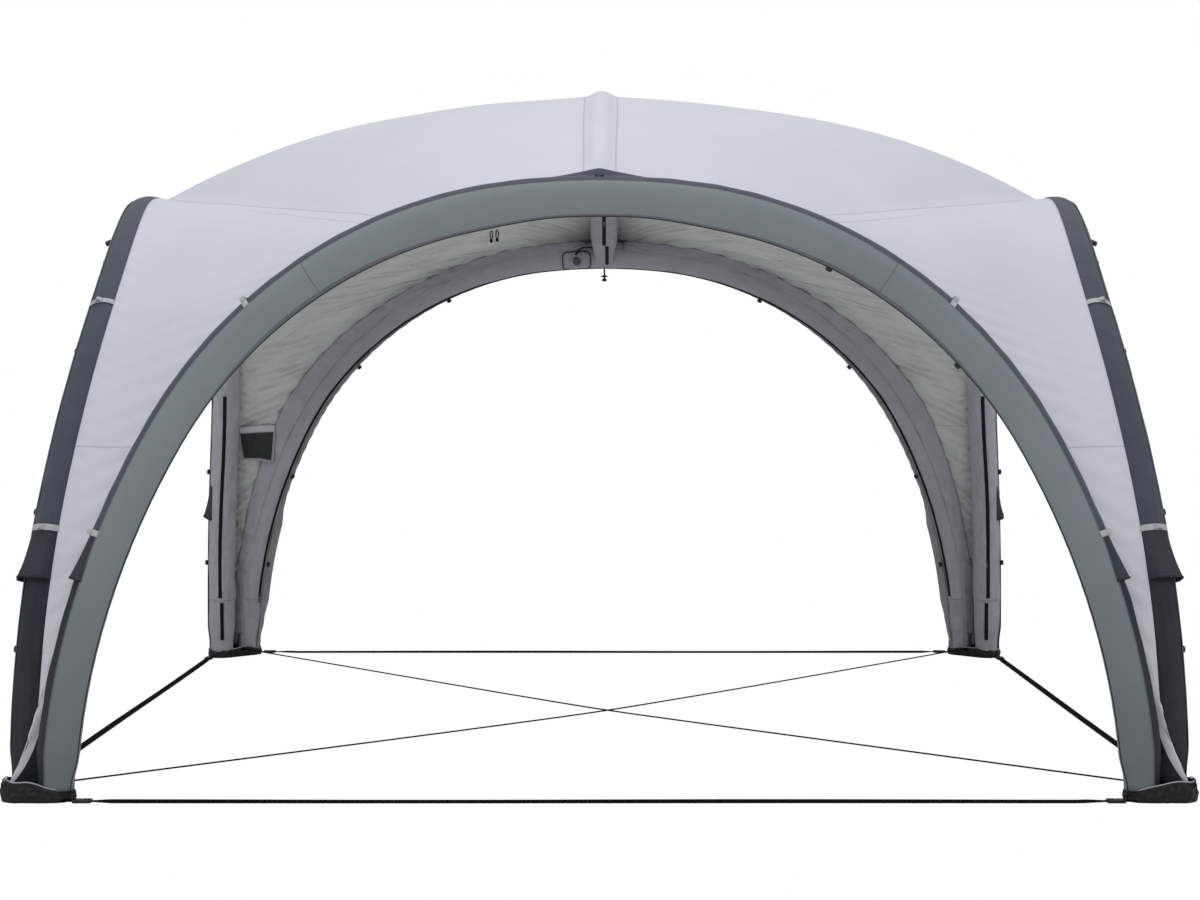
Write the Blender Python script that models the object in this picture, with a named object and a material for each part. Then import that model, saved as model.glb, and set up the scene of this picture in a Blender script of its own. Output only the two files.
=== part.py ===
"""Inflatable party tent, built as the separate pieces it comes apart into.

Four arched air beams stand on the sides of a square and lean inwards. A
fifth beam, the ridge, joins the crowns of the front and back arches. Each
beam is an airtight bladder in a fabric sleeve. The sleeves of the front and
back arches carry a grey fascia on their outer face, the side ones a navy
cover. The canopy is sewn from a left and a right half with a cover strip
over the ridge. The feet of two arches share a boot at each corner, and
straps with side release buckles join the boots along the four sides, with a
cord along each diagonal.

Metres, +Z up, the front faces -Y, the origin is on the ground in the middle.
"""

import math

import bmesh
import bpy
import numpy as np
from mathutils import Matrix, Vector
from mathutils.geometry import convex_hull_2d

# Clearances
GAP = 0.0003
CLEAR = 0.0006

# Arch centre lines
SPAN_HALF = 1.658
FOOT_STEP = 0.103
FOOT_OFFSET = SPAN_HALF + FOOT_STEP
SHOULDER_RADIUS = 1.430
CROWN_ANGLE = math.radians(6.5)
SHOULDER_ANGLE = math.radians(61.2)
FOOT_ANGLE = math.radians(89.4)
GABLE_CROWN_HEIGHT = 1.851
GABLE_LEAN = 0.091
GABLE_PULL = 0.120
GABLE_PULL_SHIFT = 0.89
FLANK_CROWN_HEIGHT = 1.916
FLANK_LEAN = 0.052
FLANK_PULL = 0.077
FLANK_PULL_SHIFT = 1.37

# Air beams
BEAM_RADIUS = 0.0605
BEAM_FOOT_RADIUS = 0.050
SLEEVE_WALL = 0.0015
SLEEVE_SIDES = 12
BLADDER_SIDES = 8
CUFF_LENGTH_UP = 0.660
CUFF_FLARE = 0.018
CUFF_LIP = 0.004
LEVEL_ROWS = 2
CUFF_ROW = 5
FLARE_START = math.radians(25.0)
FLARE_END = math.radians(-40.0)
TAPER_LENGTH = 0.250
ARCH_ROWS = 8
CROWN_ROWS = 3

# Ridge beam
RIDGE_CROWN_HEIGHT = 2.298
RIDGE_END_DROP = 0.015
RIDGE_TAPER = 0.180
RIDGE_END_RADIUS = 0.044
RIDGE_DOME = 0.022
RIDGE_MOUTH_RADIUS = 0.020
RIDGE_ROWS = 10

# Fascias and side covers
FASCIA_CROWN_START = math.radians(45.0)
FASCIA_FOOT_START = math.radians(80.0)
FASCIA_FALL = 1.5
FASCIA_LIFT = 0.0015
FASCIA_THICK = 0.0015
FASCIA_OVERHANG = 0.013
FASCIA_CROWN_DROP = 0.010
FASCIA_HEM_OUT = 0.046

# Canopy
CANOPY_THICK = 0.002
CANOPY_EDGE = math.radians(32.0)
CANOPY_HEM_UP = 0.110
CANOPY_COLUMNS = 7
SEAM_HALF_WIDTH = 0.652
RIDGE_STRIP_HALF = 0.0625
RIDGE_STRIP_DROP = 0.020
ROOF_FULLNESS = 2.47
COVER_END_ANGLE = math.radians(30.0)

# Boots
BOOT_WALL = 0.004
BOOT_SOLE = 0.005
BOOT_HEIGHT = 0.055
BOOT_CLEAR = 0.0035
BOOT_DRAFT = 0.004
BOOT_ARC_POINTS = 6

# Straps, buckles and cords
WEB_WIDTH = 0.025
WEB_THICK = 0.0016
STRAP_LINE = FOOT_OFFSET + 0.044
TAB_LENGTH = 0.008
TAB_THICK = 0.003
BUCKLE_WIDTH = 0.033
BUCKLE_HEIGHT = 0.010
BUCKLE_FLOOR = 0.001
BUCKLE_WALL = 0.0025
FEMALE_LENGTH = 0.024
MALE_LENGTH = 0.031
PRONG_LENGTH = 0.0155
PRONG_WIDTH = 0.0055
SLOT_DEPTH = 0.0235
STRAP_ENGAGED = 0.002
CORD_DIAMETER = 0.0055
CORD_SHORT = 0.0726
CORD_TAB_WIDTH = 0.014
CORD_TAB_HEIGHT = 0.008

# Mesh pocket's corners on the canopy: height on the arch, share of the way across
POCKET_LOW = ((0.908, 0.07), (0.850, 0.73))
POCKET_HIGH = ((1.015, 0.19), (0.927, 0.88))
POCKET_STAND = 0.0024
POCKET_DEPTH = 0.014
POCKET_THICK = 0.0012

# Valve on the back arch, left of the ridge
VALVE_X = -0.130
VALVE_ANGLE = math.radians(112.5)
VALVE_BASE_RADIUS = 0.021
VALVE_BASE_HEIGHT = 0.006
VALVE_NECK_RADIUS = 0.0125
VALVE_NECK_HEIGHT = 0.016
VALVE_CAP_RADIUS = 0.0185
VALVE_CAP_HEIGHT = 0.013
VALVE_CAP_WALL = 0.003
VALVE_CAP_GRIPS = 10
WINDOW_LENGTH = 0.110
WINDOW_WIDTH = 0.070

# Zips
ZIP_BODY = (0.010, 0.014, 0.005)
ZIP_PULL = (0.006, 0.030, 0.0018)
LEG_ZIP_ANGLE = math.radians(135.0)
LEG_ZIP_LOW = 0.290
RIDGE_ZIP_Y = 1.280

# Toggle under the back crown, tie loops under the front fascia, crown clips
TOGGLE_STEM = 0.030
TOGGLE_HEIGHT = 0.030
TOGGLE_RADIUS = 0.016
TOGGLE_WAIST = 0.004
TOGGLE_TIP = 0.001
LOOP_XS = (-0.332, -0.314)
LOOP_HEIGHT = 0.032
LOOP_WIDTH = 0.011
LOOP_CORD = 0.0036
LOOP_KNOT = 0.0045
CLIP_SIZE = (0.027, 0.016, 0.007)

# The diagonal cords' routes: share of their reach, sideways and up
CORD_UNDER = (
    (-1.0000, 0.000, 0.0180), (-0.9851, 0.000, 0.0176), (-0.9467, 0.001, 0.0128),
    (-0.9041, 0.003, 0.0062), (-0.8529, 0.005, 0.0032), (-0.7249, 0.008, 0.0030),
    (-0.5544, 0.009, 0.0030), (-0.3838, 0.006, 0.0030), (-0.1919, 0.002, 0.0030),
    (0.0000, 0.000, 0.0030), (0.1919, -0.002, 0.0030), (0.3838, -0.006, 0.0030),
    (0.5544, -0.008, 0.0030), (0.7249, -0.007, 0.0030), (0.8529, -0.004, 0.0032),
    (0.9041, -0.002, 0.0062), (0.9467, -0.001, 0.0128), (0.9851, 0.000, 0.0176),
    (1.0000, 0.000, 0.0180),
)
CORD_OVER = (
    (-1.0000, 0.000, 0.0180), (-0.9851, 0.000, 0.0176), (-0.9467, -0.001, 0.0128),
    (-0.9041, -0.002, 0.0062), (-0.8529, -0.004, 0.0032), (-0.6823, -0.008, 0.0030),
    (-0.4691, -0.009, 0.0030), (-0.2559, -0.004, 0.0030), (-0.1279, -0.001, 0.0036),
    (-0.0597, 0.000, 0.0072), (0.0000, 0.000, 0.0100), (0.0597, 0.000, 0.0072),
    (0.1279, 0.001, 0.0036), (0.2559, 0.004, 0.0030), (0.4691, 0.009, 0.0030),
    (0.6823, 0.008, 0.0030), (0.8529, 0.004, 0.0032), (0.9041, 0.002, 0.0062),
    (0.9467, 0.001, 0.0128), (0.9851, 0.000, 0.0176), (1.0000, 0.000, 0.0180),
)
CORD_POINTS = 40

# Ground strap's rise to its buckles: distance from the strap's end, height
STRAP_RISE = ((0.000, 1.0), (0.050, 1.0), (0.090, 0.7), (0.140, 0.2), (0.190, 0.0))

# Colours and finishes: base colour, roughness, metallic
FINISHES = {
    "canopy_grey": ((0.66, 0.67, 0.72), 0.75, 0.0),
    "sleeve_navy": ((0.075, 0.085, 0.115), 0.80, 0.0),
    "fascia_green_grey": ((0.17, 0.20, 0.195), 0.80, 0.0),
    "bladder_clear_grey": ((0.55, 0.57, 0.60), 0.35, 0.0),
    "boot_black": ((0.012, 0.012, 0.013), 0.60, 0.0),
    "webbing_black": ((0.010, 0.010, 0.011), 0.85, 0.0),
    "buckle_black": ((0.014, 0.014, 0.015), 0.45, 0.0),
    "mesh_black": ((0.020, 0.020, 0.022), 0.90, 0.0),
    "valve_grey": ((0.35, 0.36, 0.38), 0.45, 0.0),
    "zip_metal": ((0.55, 0.56, 0.58), 0.30, 1.0),
}


def clear_scene():
    """Remove the objects the file starts with."""
    for item in list(bpy.data.objects):
        bpy.data.objects.remove(item, do_unlink=True)


def finish(name):
    """Return the named Principled material, made on first use."""
    material = bpy.data.materials.get(name)
    if material is None:
        color, roughness, metallic = FINISHES[name]
        material = bpy.data.materials.new(name)
        material.use_nodes = True
        shader = material.node_tree.nodes["Principled BSDF"]
        shader.inputs["Base Color"].default_value = (*color, 1.0)
        shader.inputs["Roughness"].default_value = roughness
        shader.inputs["Metallic"].default_value = metallic
    return material


def mesh_of(name, points, faces):
    """Return a mesh with its faces turned outwards."""
    mesh = bpy.data.meshes.new(name)
    mesh.from_pydata([tuple(point) for point in points], [], faces)
    shape = bmesh.new()
    shape.from_mesh(mesh)
    bmesh.ops.remove_doubles(shape, verts=shape.verts, dist=1e-6)
    bmesh.ops.recalc_face_normals(shape, faces=shape.faces)
    shape.to_mesh(mesh)
    shape.free()
    return mesh


def place(name, mesh, material, matrix=None):
    """Add an object for a sub-part, shaded smooth with sharp corners kept."""
    item = bpy.data.objects.new(name, mesh)
    bpy.context.scene.collection.objects.link(item)
    if not mesh.materials:
        mesh.materials.append(finish(material))
    mesh.shade_smooth()
    mesh.set_sharp_from_angle(angle=math.radians(40.0))
    if matrix is not None:
        item.matrix_world = matrix
    return item


def combine(target, operand, operation):
    """Apply a Boolean of operand to target, and remove operand."""
    modifier = target.modifiers.new(operation.lower(), "BOOLEAN")
    modifier.operation = operation
    modifier.solver = "EXACT"
    modifier.object = operand
    bpy.context.view_layer.update()
    evaluated = target.evaluated_get(bpy.context.evaluated_depsgraph_get())
    mesh = bpy.data.meshes.new_from_object(evaluated)
    target.modifiers.remove(modifier)
    target.data = mesh
    bpy.data.objects.remove(operand, do_unlink=True)
    mesh.shade_smooth()
    mesh.set_sharp_from_angle(angle=math.radians(40.0))
    return target


def grid_faces(rows, columns, wrap, start, flip):
    """Return the quads of a grid of rows by columns, wrapped round if asked."""
    faces = []
    for row in range(rows - 1):
        for column in range(columns if wrap else columns - 1):
            right = (column + 1) % columns
            quad = (
                start + row * columns + column,
                start + row * columns + right,
                start + (row + 1) * columns + right,
                start + (row + 1) * columns + column,
            )
            faces.append(quad[::-1] if flip else quad)
    return faces


def wall_between(outer, inner, wrap):
    """Return points and faces of the closed wall between two like grids."""
    rows, columns = outer.shape[:2]
    size = rows * columns
    points = np.concatenate([outer.reshape(-1, 3), inner.reshape(-1, 3)])
    faces = grid_faces(rows, columns, wrap, 0, False)
    faces += grid_faces(rows, columns, wrap, size, True)
    rims = []
    for row in (0, rows - 1):
        ring = [row * columns + column for column in range(columns)]
        rims.append(ring + ring[:1] if wrap else ring)
    if not wrap:
        for column in (0, columns - 1):
            rims.append([row * columns + column for row in range(rows)])
    for rim in rims:
        for a, b in zip(rim, rim[1:]):
            faces.append((a, b, b + size, a + size))
    return points, faces


def solid_along(rings):
    """Return points and faces of a capped solid through closed rings."""
    rows, columns = rings.shape[:2]
    faces = grid_faces(rows, columns, True, 0, False)
    faces.append(tuple(range(columns))[::-1])
    faces.append(tuple(range((rows - 1) * columns, rows * columns)))
    return rings.reshape(-1, 3), faces


def box_points(low, high):
    """Return points and faces of a box between two corners."""
    points = [(x, y, z) for x in (low[0], high[0]) for y in (low[1], high[1])
              for z in (low[2], high[2])]
    faces = [(0, 1, 3, 2), (4, 6, 7, 5), (0, 4, 5, 1), (2, 3, 7, 6), (0, 2, 6, 4), (1, 5, 7, 3)]
    return points, faces


def box(name, low, high, material, matrix=None):
    """Add a box between two corners."""
    return place(name, mesh_of(name, *box_points(low, high)), material, matrix)


def turned(profile, segments, grips=0, grip_depth=0.0):
    """Return points and faces of a closed profile of radius and height turned about Z."""
    rings = []
    for radius, height in profile:
        ring = []
        for step in range(segments):
            angle = 2.0 * math.pi * step / segments
            reach = radius
            if grips and step % 2 and radius == max(point[0] for point in profile):
                reach = radius - grip_depth
            ring.append((reach * math.cos(angle), reach * math.sin(angle), height))
        rings.append(ring)
    return solid_along(np.array(rings))


def unit(vectors):
    """Return vectors scaled to length one."""
    return vectors / np.linalg.norm(vectors, axis=-1, keepdims=True)


def smooth_step(share):
    """Return a share from 0 to 1 eased at both ends."""
    share = np.clip(share, 0.0, 1.0)
    return share * share * (3.0 - 2.0 * share)


def arch_radii(rise):
    """Return the crown and leg radii that make an arch of this rise reach its feet."""
    sine = math.sin
    cosine = math.cos
    reach = SPAN_HALF - SHOULDER_RADIUS * (sine(SHOULDER_ANGLE) - sine(CROWN_ANGLE))
    drop = rise - SHOULDER_RADIUS * (cosine(CROWN_ANGLE) - cosine(SHOULDER_ANGLE))
    matrix = np.array([
        [sine(CROWN_ANGLE), sine(FOOT_ANGLE) - sine(SHOULDER_ANGLE)],
        [1.0 - cosine(CROWN_ANGLE), cosine(SHOULDER_ANGLE) - cosine(FOOT_ANGLE)],
    ])
    return np.linalg.solve(matrix, np.array([reach, drop]))


class Arch:
    """Centre line of one arch: leg, shoulder and crown arcs that meet smoothly."""

    def __init__(self, crown_height, lean, pull, pull_shift):
        self.rise = crown_height - BOOT_SOLE - GAP
        self.crown_height = crown_height
        self.lean = lean
        self.pull = pull
        self.pull_shift = pull_shift
        self.crown_radius, self.leg_radius = arch_radii(self.rise)
        self.leg = self.leg_radius * (FOOT_ANGLE - SHOULDER_ANGLE)
        self.shoulder = SHOULDER_RADIUS * (SHOULDER_ANGLE - CROWN_ANGLE)
        self.half = self.leg + self.shoulder + self.crown_radius * CROWN_ANGLE

    def local(self, lengths):
        """Return half span, height and inward lean at lengths from the foot."""
        lengths = np.asarray(lengths, dtype=float)
        angle = np.where(
            lengths < self.leg,
            FOOT_ANGLE - lengths / self.leg_radius,
            np.where(
                lengths < self.leg + self.shoulder,
                SHOULDER_ANGLE - (lengths - self.leg) / SHOULDER_RADIUS,
                (self.half - lengths) / self.crown_radius,
            ),
        )
        crown = np.minimum(angle, CROWN_ANGLE)
        shoulder = np.clip(angle, CROWN_ANGLE, SHOULDER_ANGLE)
        leg = np.maximum(angle, SHOULDER_ANGLE)
        across = (
            self.crown_radius * np.sin(crown)
            + SHOULDER_RADIUS * (np.sin(shoulder) - math.sin(CROWN_ANGLE))
            + self.leg_radius * (np.sin(leg) - math.sin(SHOULDER_ANGLE))
        )
        drop = (
            self.crown_radius * (1.0 - np.cos(crown))
            + SHOULDER_RADIUS * (math.cos(CROWN_ANGLE) - np.cos(shoulder))
            + self.leg_radius * (math.cos(SHOULDER_ANGLE) - np.cos(leg))
        )
        share = lengths / self.half
        inward = self.lean * smooth_step(share)
        inward = inward + self.pull * np.sin(math.pi * share ** self.pull_shift) ** 2
        return across, self.crown_height - drop, inward

    def length_at_height(self, height):
        """Return the length from the foot at which the centre line is this high."""
        lengths = np.linspace(0.0, self.half, 4001)
        return float(np.interp(height, self.local(lengths)[1], lengths))

    def length_at_span(self, across):
        """Return the length from the foot at which the centre line is this far across."""
        lengths = np.linspace(0.0, self.half, 4001)
        spans = self.local(lengths)[0]
        return float(np.interp(-across, -spans, lengths))

    def points(self, lengths, side):
        """Return points of the arch over the front, on the side -1 or +1 of X."""
        across, height, inward = self.local(lengths)
        return np.stack([side * across, inward - FOOT_OFFSET, height], axis=-1)


def half_stations(arch, seam_length, crown_lengths):
    """Return lengths of the cross sections of half an arch, and the canopy's first one."""
    rim = arch.length_at_height(BOOT_HEIGHT + CLEAR)
    hem = arch.length_at_height(CANOPY_HEM_UP)
    cuff = arch.length_at_height(CUFF_LENGTH_UP)
    rows = list(np.linspace(cuff, seam_length, ARCH_ROWS + 1))
    lengths = [0.0, rim, hem, (hem + cuff) / 2.0, cuff - CUFF_LIP] + rows + list(crown_lengths)
    return np.array(lengths)


class Beam:
    """Cross sections of a beam.

    Each has a centre, the directions towards the crown and inwards, a radius,
    the flare of the cuff and its share of the way from the foot to the crown.
    """

    def __init__(self, centres, crownward, inward, radii, flares=None, shares=None):
        self.centres = centres
        self.crownward = crownward
        self.inward = inward
        self.radii = radii
        self.flares = np.zeros(len(radii)) if flares is None else flares
        self.shares = np.zeros(len(radii)) if shares is None else shares

    def skin(self, angles, offset=0.0, flared=True):
        """Return the grid of points at angles from the crown line, inward positive."""
        angles = np.asarray(angles, dtype=float)
        angles = np.broadcast_to(angles, (len(self.radii), angles.shape[-1]))
        share = (FLARE_START - angles) / (FLARE_START - FLARE_END)
        lift = np.where((share > 0.0) & (share < 1.0), np.sin(math.pi * share) ** 2, 0.0)
        reach = self.radii[:, None] + offset + (self.flares[:, None] * lift if flared else 0.0)
        across = np.sin(angles) * reach
        up = np.cos(angles) * reach
        return (
            self.centres[:, None]
            + across[..., None] * self.inward[:, None]
            + up[..., None] * self.crownward[:, None]
        )

    def turned_about_z(self, quarter_turns):
        """Return the beam turned about the tent's middle by quarter turns."""
        turn = np.array(Matrix.Rotation(math.pi / 2.0 * quarter_turns, 3, "Z"))
        return Beam(self.centres @ turn.T, self.crownward @ turn.T, self.inward @ turn.T,
                    self.radii, self.flares, self.shares)

    def part(self, first, last):
        """Return the cross sections from first up to last."""
        keep = slice(first, last)
        return Beam(self.centres[keep], self.crownward[keep], self.inward[keep],
                    self.radii[keep], self.flares[keep], self.shares[keep])

    def at(self, index, share):
        """Return centre, crownward and inward between two cross sections, square to them."""
        centre = (1.0 - share) * self.centres[index] + share * self.centres[index + 1]
        along = unit(self.centres[index + 1] - self.centres[index])
        inward = (1.0 - share) * self.inward[index] + share * self.inward[index + 1]
        inward = unit(inward - along * np.dot(inward, along))
        crownward = unit(np.cross(along, inward))
        if np.dot(crownward, self.crownward[index]) < 0.0:
            crownward = -crownward
        return centre, crownward, inward


def arch_beam(arch, lengths, has_crown_station):
    """Return the beam over the front through stations mirrored about the middle."""
    step = 1e-4
    sides = []
    for side in (-1.0, 1.0):
        centres = arch.points(lengths, side)
        ahead = arch.points(np.minimum(lengths + step, arch.half), side)
        behind = arch.points(np.maximum(lengths - step, 0.0), side)
        along = unit(ahead - behind) * -side
        along[:LEVEL_ROWS] = (0.0, 0.0, -side)
        inward = np.array([0.0, 1.0, 0.0]) - along * along[:, 1:2]
        inward = unit(inward)
        crownward = np.cross(along, inward)
        sides.append((centres, crownward, inward))
    taper = smooth_step(lengths / TAPER_LENGTH)
    radii = BEAM_FOOT_RADIUS + (BEAM_RADIUS - BEAM_FOOT_RADIUS) * taper
    flares = np.zeros(len(lengths))
    flares[CUFF_ROW] = CUFF_FLARE
    last = len(lengths) - 1 if has_crown_station else len(lengths)
    parts = []
    for left, right in zip(sides[0], sides[1]):
        parts.append(np.concatenate([left, right[:last][::-1]]))
    shares = lengths / arch.half
    for values in (radii, flares, shares):
        parts.append(np.concatenate([values, values[:last][::-1]]))
    return Beam(*parts)


def ring_angles(sides):
    """Return evenly spaced angles round a beam."""
    return np.linspace(0.0, 2.0 * math.pi, sides, endpoint=False)


def bladder_radius_drop():
    """Return how much smaller a bladder's corners are than its sleeve's."""
    inner = BEAM_RADIUS - SLEEVE_WALL
    return BEAM_RADIUS - inner * math.cos(math.pi / SLEEVE_SIDES) + GAP


def add_sleeve(name, beam, material):
    """Add a beam's fabric sleeve, open at both ends."""
    angles = ring_angles(SLEEVE_SIDES)
    outer = beam.skin(angles)
    inner = beam.skin(angles, -SLEEVE_WALL, flared=False)
    return place(name, mesh_of(name, *wall_between(outer, inner, True)), material)


def add_bladder(name, beam):
    """Add a beam's airtight bladder, with its ends drawn in."""
    rings = beam.skin(ring_angles(BLADDER_SIDES), -bladder_radius_drop(), flared=False)
    for end, near in ((0, 1), (-1, -2)):
        centre = beam.centres[end]
        rings[end] = centre + (rings[end] - centre) * 0.8
        rings[end] += unit(beam.centres[near] - centre) * 2.0 * CLEAR
    return place(name, mesh_of(name, *solid_along(rings)), "bladder_clear_grey")


def fascia_hem(beam, thick):
    """Return the line of a fascia's hem, at a depth in its cloth."""
    overhang = FASCIA_OVERHANG + FASCIA_CROWN_DROP * smooth_step(beam.shares)
    down = (beam.radii + overhang)[:, None]
    out = FASCIA_HEM_OUT * beam.radii[:, None] / BEAM_RADIUS + thick
    return beam.centres - down * beam.crownward - out * beam.inward


def add_fascia(name, beam, material):
    """Add the strip over a beam's outer face, which hangs past its inner curve."""
    fall = (1.0 - beam.shares) ** FASCIA_FALL
    start = FASCIA_CROWN_START + (FASCIA_FOOT_START - FASCIA_CROWN_START) * fall
    side = np.full(len(start), math.pi / 2.0)
    angles = -np.stack([start, (start + side) / 2.0, side], axis=-1)
    lift = np.array([FASCIA_LIFT, FASCIA_LIFT, GAP])
    inner = beam.skin(angles, lift, flared=False)
    outer = beam.skin(angles, lift + FASCIA_THICK, flared=False)
    inner = np.concatenate([inner, fascia_hem(beam, 0.0)[:, None]], axis=1)
    outer = np.concatenate([outer, fascia_hem(beam, FASCIA_THICK)[:, None]], axis=1)
    return place(name, mesh_of(name, *wall_between(outer, inner, False)), material)


class Ridge:
    """The ridge beam's centre line, an arc from the front crown to the back crown."""

    def __init__(self, end_y):
        self.end_y = end_y
        self.end_z = GABLE_CROWN_HEIGHT - RIDGE_END_DROP
        rise = RIDGE_CROWN_HEIGHT - self.end_z
        self.radius = (end_y ** 2 + rise ** 2) / (2.0 * rise)
        self.sweep = math.asin(end_y / self.radius)
        self.centre_z = RIDGE_CROWN_HEIGHT - self.radius

    def frame(self, angles):
        """Return centres and crown directions at angles from the middle."""
        angles = np.asarray(angles, dtype=float)
        zero = np.zeros_like(angles)
        crownward = np.stack([zero, np.sin(angles), np.cos(angles)], axis=-1)
        centres = self.radius * crownward + np.array([0.0, 0.0, self.centre_z])
        return centres, crownward

    def stop(self):
        """Return the angle from the middle at which the beam meets an arch's sleeve."""
        reach = BEAM_RADIUS + CLEAR + RIDGE_END_DROP * math.sin(self.sweep)
        return self.sweep - reach / self.radius

    def angle_at(self, y):
        """Return the angle from the middle at which the beam is this far along."""
        return math.asin(y / self.radius)

    def beam(self):
        """Return the beam with tapered, domed ends that stop at the arches' sleeves."""
        stop = self.stop()
        full = stop - RIDGE_TAPER / self.radius
        dome = stop - RIDGE_DOME / self.radius
        middle = list(np.linspace(-full, full, RIDGE_ROWS + 1))
        angles = np.array([-stop, -dome] + middle + [dome, stop])
        radii = np.array(
            [RIDGE_MOUTH_RADIUS, RIDGE_END_RADIUS]
            + [BEAM_RADIUS] * len(middle)
            + [RIDGE_END_RADIUS, RIDGE_MOUTH_RADIUS]
        )
        centres, crownward = self.frame(angles)
        inward = np.tile(np.array([1.0, 0.0, 0.0]), (len(angles), 1))
        return Beam(centres, crownward, inward, radii)


def halved(points):
    """Return a line of points with the middle of each stretch added."""
    finer = np.repeat(points, 2, axis=0)[:-1]
    finer[1::2] = (points[:-1] + points[1:]) / 2.0
    return finer


def canopy_grid(front_edge, side_edge, ridge_line, roof_line):
    """Return the grid of the front left quarter of the canopy.

    Below the seam the rows are straight lines from the front arch to the side
    arch. Above it the grid is a Coons patch between the front arch, the seam,
    the ridge and the roof line over the middle.
    """
    columns = np.linspace(0.0, 1.0, CANOPY_COLUMNS + 1)[None, :, None]
    corner_rows = len(side_edge)
    low = front_edge[:corner_rows, None] * (1.0 - columns) + side_edge[:, None] * columns
    front = halved(front_edge[corner_rows - 1:])
    seam = low[-1]
    count = len(front)
    along = np.linspace(0.0, 1.0, count)[:, None, None]
    between = (1.0 - columns) * front[:, None] + columns * roof_line[:, None]
    across = (1.0 - along) * seam[None] + along * ridge_line[None]
    corners = (
        (1.0 - along) * ((1.0 - columns) * front[0] + columns * roof_line[0])
        + along * ((1.0 - columns) * front[-1] + columns * roof_line[-1])
    )
    high = between + across - corners
    return np.concatenate([low, high[1:]])


def grid_at(grid, row, column):
    """Return the point at a fractional row and column of a grid."""
    r0 = min(int(row), grid.shape[0] - 2)
    c0 = min(int(column), grid.shape[1] - 2)
    fr = row - r0
    fc = column - c0
    top = grid[r0, c0] * (1.0 - fc) + grid[r0, c0 + 1] * fc
    low = grid[r0 + 1, c0] * (1.0 - fc) + grid[r0 + 1, c0 + 1] * fc
    return top * (1.0 - fr) + low * fr


def add_canopy_half(name, grid, side):
    """Add the canopy's left (-1) or right (+1) half from its front left quarter."""
    rows, columns = grid.shape[:2]
    shape = bmesh.new()
    for flip in (1.0, -1.0):
        points = grid.reshape(-1, 3) * np.array([-side, flip, 1.0])
        verts = [shape.verts.new(point) for point in points]
        shape.verts.index_update()
        for quad in grid_faces(rows, columns, False, 0, False):
            shape.faces.new([verts[index] for index in quad])
    bmesh.ops.remove_doubles(shape, verts=shape.verts, dist=1e-5)
    bmesh.ops.recalc_face_normals(shape, faces=shape.faces)
    highest = max(shape.faces, key=lambda face: face.calc_center_median().z)
    if highest.normal.z < 0.0:
        bmesh.ops.reverse_faces(shape, faces=shape.faces)
    mesh = bpy.data.meshes.new(name)
    shape.to_mesh(mesh)
    shape.free()
    item = place(name, mesh, "canopy_grey")
    wall = item.modifiers.new("cloth", "SOLIDIFY")
    wall.thickness = CANOPY_THICK
    wall.offset = 0.0
    wall.use_rim = True
    return item


def add_ridge_cover(name, ridge, arch_crown):
    """Add the strip of canopy over the ridge beam, from seam to seam."""
    centre = arch_crown
    end = centre + np.array([
        0.0, math.sin(COVER_END_ANGLE) * (BEAM_RADIUS + 2.0 * CLEAR),
        math.cos(COVER_END_ANGLE) * (BEAM_RADIUS + 2.0 * CLEAR),
    ])
    full = ridge.stop() - RIDGE_TAPER / ridge.radius
    centres, crownward = ridge.frame(np.linspace(-full, full, RIDGE_ROWS + 1))
    leave = math.radians(21.0)
    inner_radius = (BEAM_RADIUS + GAP) / math.cos(math.pi / SLEEVE_SIDES)
    edge = RIDGE_STRIP_HALF - GAP
    lift = inner_radius * math.cos(leave)
    turn = inner_radius * math.sin(leave)
    fall = (edge - turn) * math.tan(leave)
    across = np.array([-edge, -turn, 0.0, turn, edge])
    heights = np.array([lift - fall, lift, inner_radius, lift, lift - fall])
    inner = centres[:, None] + heights[None, :, None] * crownward[:, None]
    inner = inner + across[None, :, None] * np.array([1.0, 0.0, 0.0])
    lows = []
    for sign in (1.0, -1.0):
        row = np.repeat(end[None], len(across), axis=0) * np.array([1.0, sign, 1.0])
        row[:, 0] = across
        lows.append(row)
    inner = np.concatenate([lows[0][None], inner, lows[1][None]])
    normal = np.concatenate([crownward[:1], crownward, crownward[-1:]])
    outer = inner + CANOPY_THICK * normal[:, None]
    return place(name, mesh_of(name, *wall_between(outer, inner, False)), "canopy_grey")


def rounded_hull(centres, radius):
    """Return the outline round circles of one radius at three or more centres."""
    order = convex_hull_2d([Vector(centre) for centre in centres])
    corners = [Vector(centres[index]) for index in order]
    points = []
    count = len(corners)
    for index, corner in enumerate(corners):
        before = corner - corners[index - 1]
        after = corners[(index + 1) % count] - corner
        start = math.atan2(before.y, before.x) - math.pi / 2.0
        turn = (math.atan2(after.y, after.x) - math.atan2(before.y, before.x)) % (2.0 * math.pi)
        for step in range(BOOT_ARC_POINTS):
            angle = start + turn * step / (BOOT_ARC_POINTS - 1)
            points.append(corner + radius * Vector((math.cos(angle), math.sin(angle))))
    return points


def boot_radius():
    """Return the radius of a boot's outer wall round a beam's foot."""
    return BEAM_FOOT_RADIUS + BOOT_CLEAR + BOOT_WALL


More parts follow.
